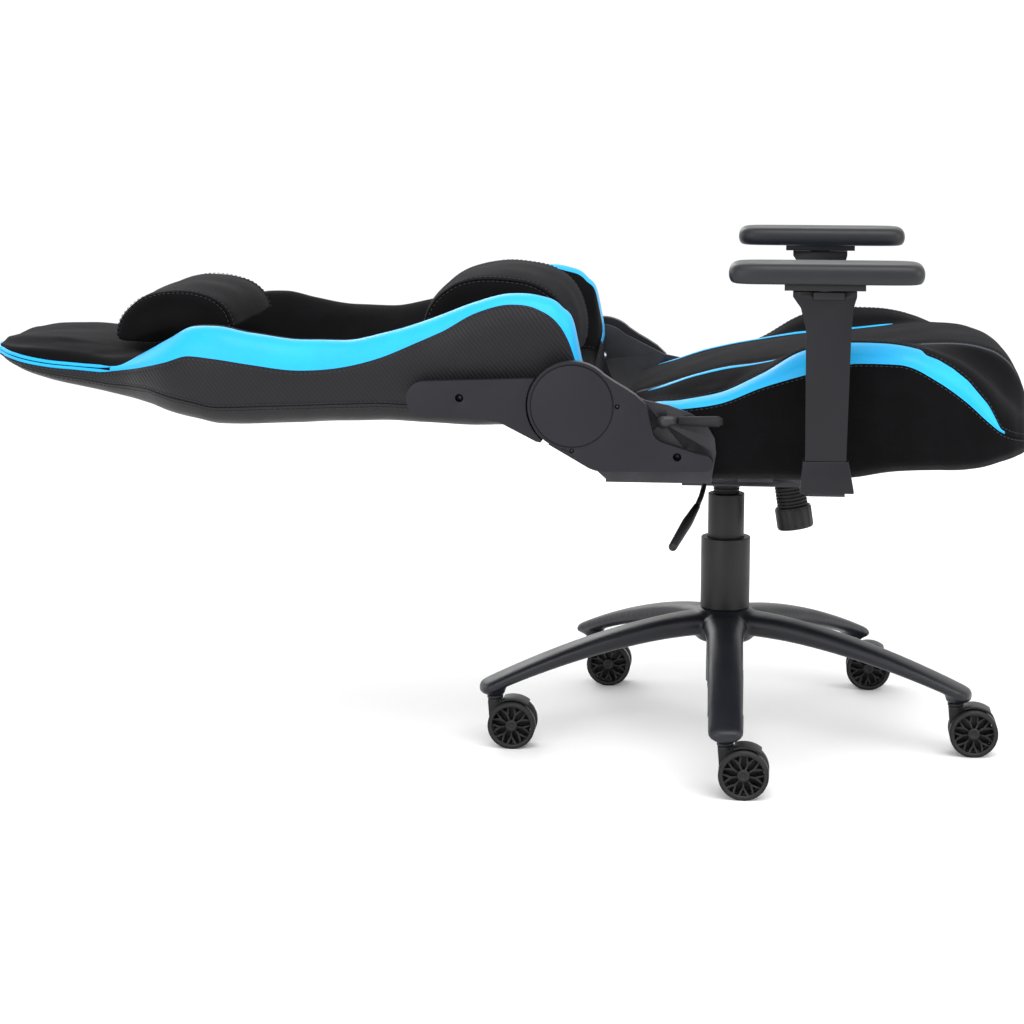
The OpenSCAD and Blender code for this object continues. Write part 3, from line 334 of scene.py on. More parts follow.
def smooth_steps(x, y, q, keep_monotone=True):
    """Cubic curve through rows y at places x, read at q. Columns don't overshoot when keep_monotone."""
    x, y, q = np.asarray(x, float), np.asarray(y, float), np.asarray(q, float)
    h = np.diff(x)[:, None]
    d = np.diff(y, axis=0) / h
    m = np.zeros_like(y)
    m[0], m[-1] = d[0], d[-1]
    m[1:-1] = (d[:-1] * h[1:] + d[1:] * h[:-1]) / (h[1:] + h[:-1])
    if keep_monotone:
        flat = d[:-1] * d[1:] <= 0
        m[1:-1][flat] = 0
        limit = 3 * np.minimum(abs(d[:-1]), abs(d[1:]))
        m[1:-1] = np.clip(m[1:-1], -limit, limit)
    k = np.clip(np.searchsorted(x, q, side="right") - 1, 0, len(x) - 2)
    t = ((q - x[k]) / (x[k + 1] - x[k]))[:, None]
    hk = h[k]
    return (
        y[k] * (1 + 2 * t) * (1 - t) ** 2 + y[k + 1] * t * t * (3 - 2 * t)
        + hk * m[k] * t * (1 - t) ** 2 - hk * m[k + 1] * t * t * (1 - t)
    )


def arc(points):
    return np.concatenate([[0], np.cumsum(np.linalg.norm(np.diff(points, axis=0), axis=1))])


def resample(points, n):
    """n points evenly along a smooth curve through the given ones."""
    points = np.asarray(points, float)
    a = arc(points)
    dense = smooth_steps(a, points, np.linspace(0, a[-1], 12 * len(points)), False)
    b = arc(dense)
    q = np.linspace(0, b[-1], n)
    return np.stack([np.interp(q, b, dense[:, i]) for i in range(dense.shape[1])], axis=1)


def traced(control, n=180):
    """Dense smooth curve through the control points, its arc lengths, and each control's place on it."""
    a = arc(control)
    q = np.linspace(0, a[-1], n)
    dense = smooth_steps(a, control, q, False)
    b = arc(dense)
    return dense, b, np.interp(a, q, b)


def step(x, a, b):
    t = np.clip((x - a) / (b - a), 0, 1)
    return t * t * (3 - 2 * t)


def tube(name, path, r, mat, sides=10, closed=False, n=None):
    """Round tube of radius r (one value or one for each point) along a path."""
    pts = np.asarray(path, float) if n is None else resample(path, n)
    m = len(pts)
    ahead, behind = np.roll(pts, -1, 0), np.roll(pts, 1, 0)
    if not closed:
        ahead[-1], behind[0] = pts[-1], pts[0]
    way = ahead - behind
    way /= np.linalg.norm(way, axis=1)[:, None] + 1e-12
    side = np.cross(way[0], (0, 0, 1) if abs(way[0][2]) < 0.9 else (0, 1, 0))
    rings = []
    radii = np.broadcast_to(r, (m,))
    for i in range(m):
        side = side - way[i] * (side @ way[i])
        side /= np.linalg.norm(side)
        up = np.cross(way[i], side)
        a = np.arange(sides) * 2 * math.pi / sides
        rings.append(pts[i] + radii[i] * (np.cos(a)[:, None] * side + np.sin(a)[:, None] * up))
    faces = []
    for i in range(m if closed else m - 1):
        for k in range(sides):
            a, b = i * sides + k, i * sides + (k + 1) % sides
            c, d = (a + sides) % (m * sides), (b + sides) % (m * sides)
            faces.append((a, b, d, c))
    if not closed:
        faces += [tuple(range(sides))[::-1], tuple((m - 1) * sides + k for k in range(sides))]
    return new_object(name, np.concatenate(rings), faces, [mat])


def stitches(name, lines, mat, body, length=0.0042, gap=0.0022, r=0.00055):
    """Rows of short thread stitches, each a little spindle, as one piece."""
    points, faces = [], []
    for line in lines:
        a = arc(line)
        count = int(a[-1] / (length + gap))
        for i in range(count):
            s0 = i * (length + gap)
            at = [
                np.array([np.interp(s0 + f * length, a, line[:, c]) for c in range(3)]) for f in (0, 0.5, 1)
            ]
            way = at[2] - at[0]
            way /= np.linalg.norm(way) + 1e-12
            u = np.cross(way, (0, 0, 1) if abs(way[2]) < 0.9 else (1, 0, 0))
            u /= np.linalg.norm(u)
            v = np.cross(way, u)
            base = len(points)
            for p, k in zip(at, (0.45, 1, 0.45)):
                points += [p + r * k * (math.cos(q) * u + math.sin(q) * v) for q in (0, 1.57, 3.14, 4.71)]
            for j in (0, 4):
                faces += [(base + j + k, base + j + (k + 1) % 4, base + j + 4 + (k + 1) % 4, base + j + 4 + k)
                          for k in range(4)]
            faces += [(base + 3, base + 2, base + 1, base), (base + 8, base + 9, base + 10, base + 11)]
    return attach(new_object(name, points, faces, [mat]), body)


def ribbon(name, ground, line, widths, mat, thick=0.0008):
    """Thin inlay laid on a surface along a line of (x, y) places, with its half width at each."""
    ring = [(-1, 0), (-0.6, 0.8), (0, 1), (0.6, 0.8), (1, 0), (0.5, -1.4), (-0.5, -1.4)]
    points, faces = [], []
    for (x, y), w in zip(line, widths):
        for across, lift in ring:
            spot, normal = ground.ray_cast(Vector((x + across * w, y, 1.5)), Vector((0, 0, -1)))[:2]
            points.append(tuple(spot + normal * (lift * thick)))
    n = len(ring)
    for i in range(len(line) - 1):
        for j in range(n):
            a, b = i * n + j, i * n + (j + 1) % n
            faces.append((a, b, b + n, a + n))
    faces += [tuple(range(n))[::-1], tuple((len(line) - 1) * n + j for j in range(n))]
    return outward(new_object(name, points, faces, [mat]))


def inflate(obj, pinned, cap, pressure=3.0, stiffness=25.0, bending=3.0, frames=16):
    """Cloth simulation of a filled cover whose seams are held; each point moves at most its cap."""
    before = np.array([v.co for v in obj.data.vertices])
    group = obj.vertex_groups.new(name="held")
    for i, weight in enumerate(pinned):
        if weight > 0:
            group.add([i], float(weight), "REPLACE")
    cloth = obj.modifiers.new("cloth", "CLOTH")
    s = cloth.settings
    s.quality = 4
    s.mass = 0.25
    s.tension_stiffness = s.compression_stiffness = stiffness
    s.shear_stiffness = stiffness / 3
    s.bending_stiffness = bending
    s.use_pressure = True
    s.uniform_pressure_force = pressure
    s.vertex_group_mass = "held"
    s.effector_weights.gravity = 0
    cloth.collision_settings.use_collision = False
    cloth.point_cache.frame_start, cloth.point_cache.frame_end = 1, frames
    for f in range(1, frames + 1):
        scene.frame_set(f)
    done = obj.evaluated_get(bpy.context.evaluated_depsgraph_get())
    after = np.array([v.co for v in done.data.vertices])
    obj.modifiers.remove(cloth)
    scene.frame_set(1)
    move = after - before
    size = np.linalg.norm(move, axis=1)[:, None]
    cap = np.broadcast_to(cap, (len(before),))[:, None]
    move *= np.where(size > 1e-9, cap * np.tanh(size / cap) / np.maximum(size, 1e-9), 1)
    obj.data.vertices.foreach_set("co", (before + move).astype(np.float32).ravel())
    obj.data.update()


def subdivide(obj, levels=1):
    mod = obj.modifiers.new("subdivision", "SUBSURF")
    mod.levels = mod.render_levels = levels


def coords(obj):
    return np.array([v.co for v in obj.data.vertices])


def normals(obj):
    return np.array([v.normal for v in obj.data.vertices])


# ---------- Upholstered bodies ----------
# A body is a closed skin of rings across the chair. Each ring's half runs from the middle of the
# front to the middle of the rear, and is cut by the seams, so every seam is a line of vertices.


SEAM_SOFTNESS = 0.35    # how far the columns beside a seam follow it in
SEAM_FADE = 14          # stations over which a seam that stops early fades out


class Skin:
    """Grid of points: station i along the length, column j round the ring; seams are columns."""

    def __init__(self, name, half_rings, breaks, counts, mats):
        self.columns = [0] + list(np.cumsum(counts))
        per_half = self.columns[-1] + 1
        rings = []
        for control, cut in zip(half_rings, breaks):
            dense, a, marks = traced(control)
            places = np.concatenate([[0], cut(dense, a, marks), [a[-1]]])
            q = np.concatenate(
                [np.linspace(places[k], places[k + 1], counts[k] + 1)[(k > 0):] for k in range(len(counts))]
            )
            rings.append(np.stack([np.interp(q, a, dense[:, c]) for c in range(3)], axis=1))
        half = np.array(rings)
        other = half[:, -2:0:-1] * np.array([-1, 1, 1])
        grid = np.concatenate([half, other], axis=1)
        self.m, self.n, self.half_n = grid.shape[0], grid.shape[1], per_half
        m, n = self.m, self.n
        points = grid.reshape(-1, 3)
        zone_of = np.zeros(n, int)
        for j in range(n):
            h = j if j < per_half - 1 else n - 1 - j
            zone_of[j] = sum(h >= c for c in self.columns[1:-1])
        faces, zones = [], []
        for i in range(m - 1):
            for j in range(n):
                a, b = i * n + j, i * n + (j + 1) % n
                faces.append((a, b, b + n, a + n))
                zones.append(zone_of[j])
        extra = []
        for i, flip in ((0, True), (m - 1, False)):
            ring = grid[i]
            centre = ring.mean(0)
            last = [i * n + j for j in range(n)]
            for share in (0.7, 0.4):
                start = len(points) + len(extra)
                extra += list(centre + (ring - centre) * share)
                new = list(range(start, start + n))
                for j in range(n):
                    f = (last[j], last[(j + 1) % n], new[(j + 1) % n], new[j])
                    faces.append(f[::-1] if not flip else f)
                    zones.append(zone_of[j])
                last = new
            extra.append(centre)
            tip = len(points) + len(extra) - 1
            for j in range(n):
                faces.append((last[j], last[(j + 1) % n], tip))
                zones.append(zone_of[j])
        self.obj = outward(new_object(name, list(points) + extra, faces, mats, zones))

    def repaint(self, zone, rows, mat):
        """Gives one zone another material slot at the stations where rows is true."""
        for f in self.obj.data.polygons:
            i = f.vertices[0] // self.n
            if f.material_index == zone and (i >= self.m or rows[i]):
                f.material_index = mat

    def index(self, i, column, side=1):
        """Vertex at station i on a seam column; side -1 is the mirrored half."""
        j = column if side > 0 or column in (0, self.half_n - 1) else self.n - column
        return i * self.n + j

    def line(self, seam, side=1, off=0, lo=0.0, hi=1.0):
        """Points of a column's line, off columns away from the seam."""
        co = coords(self.obj)
        c = self.columns[seam] + off
        rows = range(int(lo * (self.m - 1)), int(hi * (self.m - 1)) + 1)
        return co[[self.index(i, c, side) for i in rows]]

    def beside(self, seam, side, distance, lift, lo=0.0, hi=1.0):
        """A line at a distance from a seam along the skin, lifted off it; distance < 0 is inward."""
        co, no = coords(self.obj), normals(self.obj)
        c = self.columns[seam]
        rows = range(int(lo * (self.m - 1)), int(hi * (self.m - 1)) + 1)
        out = []
        for i in rows:
            way = 1 if distance > 0 else -1
            a = self.index(i, c, side)
            left = abs(distance)
            k = c
            while True:
                b = self.index(i, k + way, side)
                gap = np.linalg.norm(co[b] - co[a])
                if gap >= left or not 0 < k + way < self.half_n - 1:
                    t = min(1, left / max(gap, 1e-9))
                    out.append(co[a] + (co[b] - co[a]) * t + (no[a] + (no[b] - no[a]) * t) * lift)
                    break
                left -= gap
                k += way
                a = b
        return np.array(out)

    def hold(self, soft_rows=3, rear_zone=None, rear_weight=0.9):
        """Pin weights: full on seams and at both ends, part on a stiff rear zone."""
        w = np.ones(len(self.obj.data.vertices))
        grid = np.zeros((self.m, self.n))
        for j in range(self.n):
            h = j if j < self.half_n else self.n - j
            if h in self.columns[1:-1]:
                grid[:, j] = 1
            elif rear_zone is not None and h > self.columns[rear_zone]:
                grid[:, j] = rear_weight
        grid[:soft_rows] = 1
        grid[-soft_rows:] = 1
        w[: self.m * self.n] = grid.ravel()
        return w

    def press_seams(self, seams, depth, hi=(1, 1, 1, 1)):
        """Pulls seam lines into the padding, with the columns beside them part of the way.

        A seam with hi below 1 ends at that share of the stations and fades out over SEAM_FADE of them.
        """
        co, no = coords(self.obj), normals(self.obj)
        for seam, d, end in zip(seams, depth, hi):
            for side in (1, -1):
                for off, share in ((0, 1), (-1, SEAM_SOFTNESS), (1, SEAM_SOFTNESS)):
                    c = self.columns[seam] + off
                    rows = range(2, min(self.m - 2, int(end * self.m)))
                    ids = [self.index(i, c, side) for i in rows]
                    left = len(ids) - np.arange(len(ids))
                    fade = np.clip(left / SEAM_FADE, 0, 1)[:, None] if end < 1 else 1
                    co[ids] -= no[ids] * d * share * fade
        self.obj.data.vertices.foreach_set("co", co.astype(np.float32).ravel())
        self.obj.data.update()


def ripple(obj, amount):
    """Slow uneven folds of real upholstery: a sum of fixed sine waves along the normals."""
    co, no = coords(obj), normals(obj)
    h = sum(np.sin(co @ np.array(w) + k * 1.7) for k, w in enumerate(WAVES)) / len(WAVES)
    co += no * (h * amount)[:, None]
    obj.data.vertices.foreach_set("co", co.astype(np.float32).ravel())
    obj.data.update()


WAVES = [(31, 47, 22), (-58, 23, 41), (17, -83, 35), (66, 51, -29), (9, 21, 73)]
MM = 0.001
SEAT_Z, SEAT_HALF, SEAT_FRONT, SEAT_LEN = 0.423, 0.250, -0.400, 0.542
HINGE_Y, HINGE_Z = 0.192, 0.495
BACK_START, BACK_LEN, BACK_HALF = 0.185, 0.816, 0.268

# Rows along the chair: share of length, share of half width, heights in mm
SEAT_ROWS = np.array([
    [0, 0.52, 52, 32, 14, 11], [0.015, 0.70, 80, 45, 18, 8], [0.041, 0.82, 108, 57, 23, 5],
    [0.081, 0.90, 129, 77, 32, 0], [0.116, 0.94, 137, 97, 47, -5], [0.164, 0.965, 142, 118, 71, -8],
    [0.234, 0.985, 143, 137, 99, -9], [0.328, 1, 139, 150, 122, -11], [0.421, 1, 132, 153, 123, -19],
    [0.491, 1, 129, 152, 116, -22], [0.559, 0.992, 125, 140, 105, -24], [0.653, 0.982, 116, 110, 89, -24.5],
    [0.745, 0.978, 107, 86, 69, -25], [0.839, 0.972, 93, 75, 61, -24], [0.923, 0.955, 78, 67, 59, -23],
    [0.959, 0.92, 71, 54, 45, -21], [0.987, 0.86, 59, 37, 29, -19], [1, 0.80, 45, 29, 22, 0],
])
BACK_ROWS = np.array([
    [0, 0.881, -33, 17, 45, 35], [0.009, 0.896, -37, 23, 90, 57], [0.031, 0.907, -40, 27, 120, 90],
    [0.067, 0.918, -42, 30, 134, 114], [0.110, 0.925, -43, 32, 137, 121],
    [0.173, 0.933, -43, 35, 125, 107], [0.252, 0.937, -41, 34, 101, 79],
    [0.316, 0.944, -39, 31, 85, 56], [0.381, 0.955, -40, 23, 76, 42], [0.445, 0.970, -42, 15, 76, 38],
    [0.526, 0.993, -44, 10, 85, 46], [0.582, 1, -45, 13, 94, 53], [0.623, 0.989, -39, 19, 92, 56],
    [0.664, 0.948, -33, 25, 75, 46], [0.714, 0.843, -23, 36, 53, 35], [0.743, 0.769, -18, 44, 45, 30],
    [0.788, 0.687, -12, 51, 41, 25], [0.839, 0.634, -5, 56, 44, 26], [0.895, 0.608, 4, 60, 48, 29],
    [0.944, 0.560, 17, 60, 50, 35], [0.974, 0.480, 29, 57, 50, 40], [0.993, 0.36, 39, 54, 49, 44],
    [1, 0.21, 44, 50, 48, 46],
])


def mix(a, b, t):
    return a + (b - a) * t


def stations(count, rows, even=0.55):
    """Places along the length: partly even, partly crowded where the table's rows are close."""
    known = rows[:, 0]
    crowd = np.interp(np.linspace(0, 1, count), np.linspace(0, 1, len(known)), known)
    return mix(crowd, np.linspace(0, 1, count), even)


def back_body():
    s_all = stations(190, BACK_ROWS)
    rows = smooth_steps(BACK_ROWS[:, 0], BACK_ROWS[:, 1:], s_all)
    rings, cuts = [], []
    for s, (share, r, c, k, e) in zip(s_all, rows):
        w, y = BACK_HALF * share, BACK_START + BACK_LEN * s
        rim = r + min(31.5, 0.5 * (e - r))
        rise = rim - r
        half = [
            (0, c - 2.2), (0.2, c - 1.2), (0.42, c - 0.3), (0.545, c), (0.60, mix(c, k, 0.13)),
            (0.67, mix(c, k, 0.42)), (0.76, mix(c, k, 0.8)), (0.85, k), (0.90, k + 0.6),
            (0.945, mix(k, e, 0.12)),
            (0.985, mix(k, e, 0.52)), (1, e), (0.993, mix(e, rim, 0.5)), (0.975, rim),
            (0.955, r + 0.62 * rise), (0.90, r + 0.36 * rise), (0.80, r + 0.17 * rise),
            (0.62, r + 0.05 * rise), (0.3, r + 0.3), (0, r + 1),
        ]
        control = np.array([(p * w, y, HINGE_Z + h * MM) for p, h in half])
        head = float(step(s, 0.70, 0.765))
        wrap = 0.020 * float(1 - step(s, 0.07, 0.16))
        hump = float(step(s, 0.0, 0.03) * (1 - step(s, 0.16, 0.22)))

        def cut(dense, a, marks, head=head, wrap=wrap, hump=hump):
            top = mix(marks[8] - wrap, marks[11] - 0.0055, head)
            return [marks[3], top, marks[11] - 0.0085 * hump, marks[13]]

        rings.append(control)
        cuts.append(cut)
    looks = [SUEDE, SUEDE, BLUE, CARBON, VINYL]
    skin = Skin("back_upholstery", rings, cuts, [12, 13, 6, 7, 12], looks)
    skin.repaint(2, s_all > 0.772, 1)
    return skin


# Where the seat's side strip starts, near the front: share of the length, height in mm
STRIP_TOP = ([0.0, 0.065, 0.085, 0.116, 0.164, 0.20, 0.234, 0.27], [0, 16, 40, 72, 104, 120, 131, 138])


def seat_body():
    s_all = stations(150, SEAT_ROWS)
    rows = smooth_steps(SEAT_ROWS[:, 0], SEAT_ROWS[:, 1:], s_all)
    rings, cuts = [], []
    for s, (share, c, k, e, b) in zip(s_all, rows):
        w, y = SEAT_HALF * share, SEAT_FRONT + SEAT_LEN * s
        half = [
            (0, c + 1.5), (0.20, c + 1), (0.40, c), (0.50, c - 1.2), (0.58, c - 3), (0.66, mix(c, k, 0.5)),
            (0.76, mix(c, k, 0.9)), (0.86, k), (0.93, mix(k, e, 0.2)), (0.985, mix(k, e, 0.62)), (1, e),
            (1.0, mix(b, e, 0.5)), (0.985, b + 6), (0.95, b), (0.5, b), (0, b),
        ]
        control = np.array([(p * w, y, SEAT_Z + h * MM) for p, h in half])
        edge = np.interp(s, *STRIP_TOP) if s < STRIP_TOP[0][-1] else None

        def cut(dense, a, marks, edge=edge):
            top = mix(marks[7], marks[8], 0.35)
            if edge is not None:
                side = (a >= marks[7]) & (a <= marks[10])
                heights = (dense[side, 2] - SEAT_Z) / MM
                fall = np.interp(-edge, -heights, a[side])
                top = max(top, fall)
            low = marks[10] - 0.006
            return [marks[3], min(top, low - 0.0008), low, marks[12]]

        rings.append(control)
        cuts.append(cut)
    skin = Skin("seat_upholstery", rings, cuts, [12, 12, 7, 10, 8], [SUEDE, SUEDE, BLUE, SUEDE, LINING])
    skin.repaint(2, s_all < 0.072, 1)
    return skin


FILL_CAP = 0.006        # most that a point of the seat or back may move as the cover fills
THREAD_OUT = 0.0045     # stitch line beside an outer seam
THREAD_WIDE = 0.005     # stitch line beside an inner seam
THREAD_LIFT = 0.0006


def make_back():
    skin = back_body()
    back = skin.obj
    cap = np.full(len(back.data.vertices), FILL_CAP)
    inflate(back, skin.hold(rear_zone=4, rear_weight=0.95), cap)
    skin.press_seams((1, 2, 3, 4), (0.0030, 0.0010, 0.0014, 0.0014), hi=(0.74, 1, 1, 1))
    ripple(back, 0.0010)
    subdivide(back)
    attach(back, "back")
    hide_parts("back_cushion", "back_rear_panel")
    rows = []
    for side in (1, -1):
        rows += [
            skin.beside(3, side, THREAD_OUT, THREAD_LIFT, 0.01, 0.99),
            skin.beside(4, side, -THREAD_OUT, THREAD_LIFT, 0.02, 0.98),
            skin.beside(4, side, THREAD_OUT, THREAD_LIFT, 0.02, 0.98),
            skin.beside(1, side, THREAD_WIDE, THREAD_LIFT, 0.02, 0.70),
        ]
    stitches("back_stitches", rows, THREAD, "back")
    bead_radius = 0.0024 * np.clip(np.linspace(0.15, 9, 150), 0, 1)
    for side, word in ((1, "left"), (-1, "right")):
        for seam, part in ((2, "upper"), (3, "lower")):
            line = skin.line(seam, side, 0, 0.745, 0.995)
            bead = tube(f"head_piping_{part}_{word}", line, bead_radius, BLUE, 10, n=150)
            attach(bead, "back")
        edge = skin.line(4, side, 0, 0.004, 0.992)
        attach(tube(f"rear_seam_cord_{word}", edge, 0.0016, VINYL, 8, n=220), "back")


INLAY_X, INLAY_REAR, INLAY_FRONT = 0.140, 0.102, -0.227
INLAY_POINTS = 70


def seat_inlays(seat):
    """Blue inlaid lines on the seat top: pointed at the rear, narrower towards the front."""
    bpy.context.view_layer.update()
    ground = BVHTree.FromObject(seat, bpy.context.evaluated_depsgraph_get())
    along = np.linspace(INLAY_REAR, INLAY_FRONT, INLAY_POINTS)
    shares = np.linspace(0, 1, INLAY_POINTS)
    widths = 0.0070 * np.interp(shares, [0, 0.07, 0.5, 0.96, 1], [0.06, 1, 0.8, 0.55, 0.1])
    for side, word in ((1, "left"), (-1, "right")):
        line = [(side * INLAY_X, y) for y in along]
        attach(ribbon(f"seat_accent_{word}", ground, line, widths, BLUE), "seat")


def make_seat():
    skin = seat_body()
    seat = skin.obj
    cap = np.full(len(seat.data.vertices), FILL_CAP)
    inflate(seat, skin.hold(rear_zone=4, rear_weight=1), cap)
    skin.press_seams((1, 2, 3), (0.0035, 0.0012, 0.0016))
    ripple(seat, 0.0011)
    subdivide(seat)
    seat_inlays(seat)
    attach(seat, "seat")
    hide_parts("seat_cushion", "seat_under_cover")
    rows = []
    for side in (1, -1):
        rows += [
            skin.beside(3, side, THREAD_OUT, THREAD_LIFT, 0.02, 0.97),
            skin.beside(1, side, -THREAD_WIDE, THREAD_LIFT, 0.03, 0.96),
            skin.beside(2, side, -THREAD_WIDE, THREAD_LIFT, 0.03, 0.96),
        ]
    stitches("seat_stitches", rows, THREAD, "seat")
    for side, word in ((1, "left"), (-1, "right")):
        edge = skin.line(1, side, 0, 0.05, 0.94)
        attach(tube(f"seat_piping_{word}", edge, 0.0019, PIPING, 8, n=160), "seat")


make_back()
make_seat()

# ---------- Pillows ----------


def pillow(name, outline, half, base, mats, body, node, band_from, cap=0.007):
    """Stuffed pillow: a wrap-round band and two end panels, held at the seams while it fills."""
    outline = np.array(outline)
    closed = np.vstack([outline, outline[:1]])
    dense = resample(closed, 97)[:-1]
    ends = [(1.0, 0.66), (0.995, 0.80), (0.975, 0.885), (0.94, 0.925), (0.90, 0.945)]
    inner = [(x, 0.945 + 0.055 * (1 - (x / 0.9) ** 2) ** 0.7) for x in np.linspace(0.84, 0, 12)]
    xs = [(-x, k) for x, k in ends] + [(-x, k) for x, k in inner]
    xs = xs + [(x, k) for x, k in inner[-2::-1]] + [(x, k) for x, k in ends[::-1]]
    base = np.array(base)
    n, m = len(dense), len(xs)
    points = []
    for x, k in xs:
        ring = base + (dense - base) * k
        points += [(x * half, *p) for p in ring]
    faces, zones = [], []
    for i in range(m - 1):
        for j in range(n):
            a, b = i * n + j, i * n + (j + 1) % n
            faces.append((a, b, b + n, a + n))
            zones.append(0 if 3 <= i < m - 4 else 1)
    for i, sign in ((0, -1), (m - 1, 1)):
        ring = np.array(points[i * n:(i + 1) * n])
        centre = ring.mean(0)
        last = list(range(i * n, (i + 1) * n))
        for share in (0.85, 0.68, 0.5, 0.3, 0.12):
            start = len(points)
            bulge = np.array([sign * 0.012 * math.cos(share * math.pi / 2), 0, 0])
            points += [tuple(p) for p in centre + (ring - centre) * share + bulge]
            new = list(range(start, start + n))
            for j in range(n):
                faces.append((last[j], last[(j + 1) % n], new[(j + 1) % n], new[j]))
                zones.append(1)
            last = new
        points.append(tuple(centre + np.array([sign * 0.012, 0, 0])))
        for j in range(n):
            faces.append((last[j], last[(j + 1) % n], len(points) - 1))
            zones.append(1)
    obj = outward(new_object(name, points, faces, mats, zones))
    seam_rows = (3, m - 4)
    held = np.zeros(len(points))
    for i in seam_rows:
        held[i * n:(i + 1) * n] = 1
    under = np.array(points)[:, 2] < band_from
    held = np.maximum(held, under * 0.98)
    inflate(obj, held, np.full(len(points), cap), pressure=3.5, stiffness=18, bending=1.5, frames=18)
    co, no = coords(obj), normals(obj)
    for i in seam_rows:
        ids = np.arange(i * n, (i + 1) * n)
        co[ids] -= no[ids] * 0.002
    obj.data.vertices.foreach_set("co", co.astype(np.float32).ravel())
    obj.data.update()
    ripple(obj, 0.0016)
    co, no = coords(obj), normals(obj)
    subdivide(obj)
    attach(obj, body)
    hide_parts(node)
    lines = []
    for i, word, inward in ((3, "right", 1), (m - 4, "left", -1)):
        ids = np.arange(i * n, (i + 1) * n)
        near = np.arange((i + inward) * n, (i + inward + 1) * n)
        far = np.arange((i - inward) * n, (i - inward + 1) * n)
        for other in (near, far):
            way = co[other] - co[ids]
            way /= np.linalg.norm(way, axis=1)[:, None]
            line = co[ids] + way * 0.005 + no[ids] * 0.0016
            lines.append(np.vstack([line, line[:1]]))
        cord = tube(f"{name}_piping_{word}", co[ids] + no[ids] * 0.0012, 0.0018, mats[0], 8, closed=True)
        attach(cord, body)
    stitches(f"{name}_stitches", lines, THREAD, body)
    return obj


def outline_at(y, z, pairs):
    return [((y + a) * MM, (z + b) * MM) for a, b in pairs]


HEAD_Y = (BACK_START + BACK_LEN * 0.681) / MM
HZ, HY = HINGE_Z / MM, HINGE_Y / MM
pillow(
    "head_cushion",
    outline_at(HEAD_Y, HZ, [
        (-84, 82), (-78, 100), (-60, 118), (-36, 127), (-4, 131), (32, 126), (62, 110), (80, 88), (84, 64),
        (60, 60), (10, 60), (-50, 66),
    ]),
    0.140, (HEAD_Y * MM, (HZ + 66) * MM), [SUEDE_PILLOW, SUEDE], "back", "head_pillow",
    (HZ + 72) * MM,
)
pillow(
    "lumbar_cushion",
    outline_at(HY, HZ, [
        (8, 42), (7, 72), (14, 102), (30, 128), (56, 146), (94, 155), (138, 155), (176, 144), (204, 120),
        (216, 90), (214, 58), (190, 45), (110, 43),
    ]),
    0.146, ((HY + 110) * MM, (HZ + 50) * MM), [SUEDE_PILLOW, SUEDE], "back", "lumbar_pillow",
    (HZ + 52) * MM,
)

# ---------- Arm pads ----------


def arm_pad(word, node, body):
    """Moulded pad: rounded plan, bevelled ends, softly crowned top with a shallow dish."""
    low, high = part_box(node)
    centre, size = (low + high) / 2, high - low
    rings = []
    layers = [
        (0.0, 0.86), (0.04, 0.93), (0.16, 0.975), (0.34, 1.0), (0.52, 1.0), (0.66, 0.992), (0.80, 0.965),
        (0.90, 0.92), (0.965, 0.86), (0.995, 0.77), (1.0, 0.64), (0.985, 0.45), (0.975, 0.24),
    ]
    sides = 72
    for height, scale in layers:
        ring = []
        for k in range(sides):
            a = 2 * math.pi * k / sides
            power = 2 / 5.0
            ca, sa = math.cos(a), math.sin(a)
            x = math.copysign(abs(ca) ** power, ca) * (size.x / 2 - 0.006 * (1 - math.sin(abs(sa)) ** 2))
            y = math.copysign(abs(sa) ** power, sa) * size.y / 2
            inset_x = size.x / 2 * (1 - scale)
            x2 = x * (scale if scale <= 0.6 else (size.x / 2 - inset_x) / (size.x / 2))
            y2 = y * (scale if scale <= 0.6 else (size.y / 2 - inset_x * 1.25) / (size.y / 2))
            ring.append((centre.x + x2, centre.y + y2, low.z + height * size.z))
        rings.append(ring)
    points = [p for ring in rings for p in ring]
    faces = []
    for i in range(len(rings) - 1):
        for k in range(sides):
            a, b = i * sides + k, i * sides + (k + 1) % sides
            faces.append((a, b, b + sides, a + sides))
    top = len(points)
    points.append((centre.x, centre.y, low.z + 0.972 * size.z))
    base = (len(rings) - 1) * sides
    faces += [(base + k, base + (k + 1) % sides, top) for k in range(sides)]
    bottom = len(points)
    points.append((centre.x, centre.y, low.z))
    faces += [((k + 1) % sides, k, bottom) for k in range(sides)]
    pad = outward(new_object(f"arm_cushion_{word}", points, faces, [PAD]))
    subdivide(pad)
    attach(pad, body)
    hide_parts(node)


arm_pad("left", "armrest_pad_left", "arm_pad_left")
arm_pad("right", "armrest_pad_right", "arm_pad_right")

# ---------- CAD nodes ----------

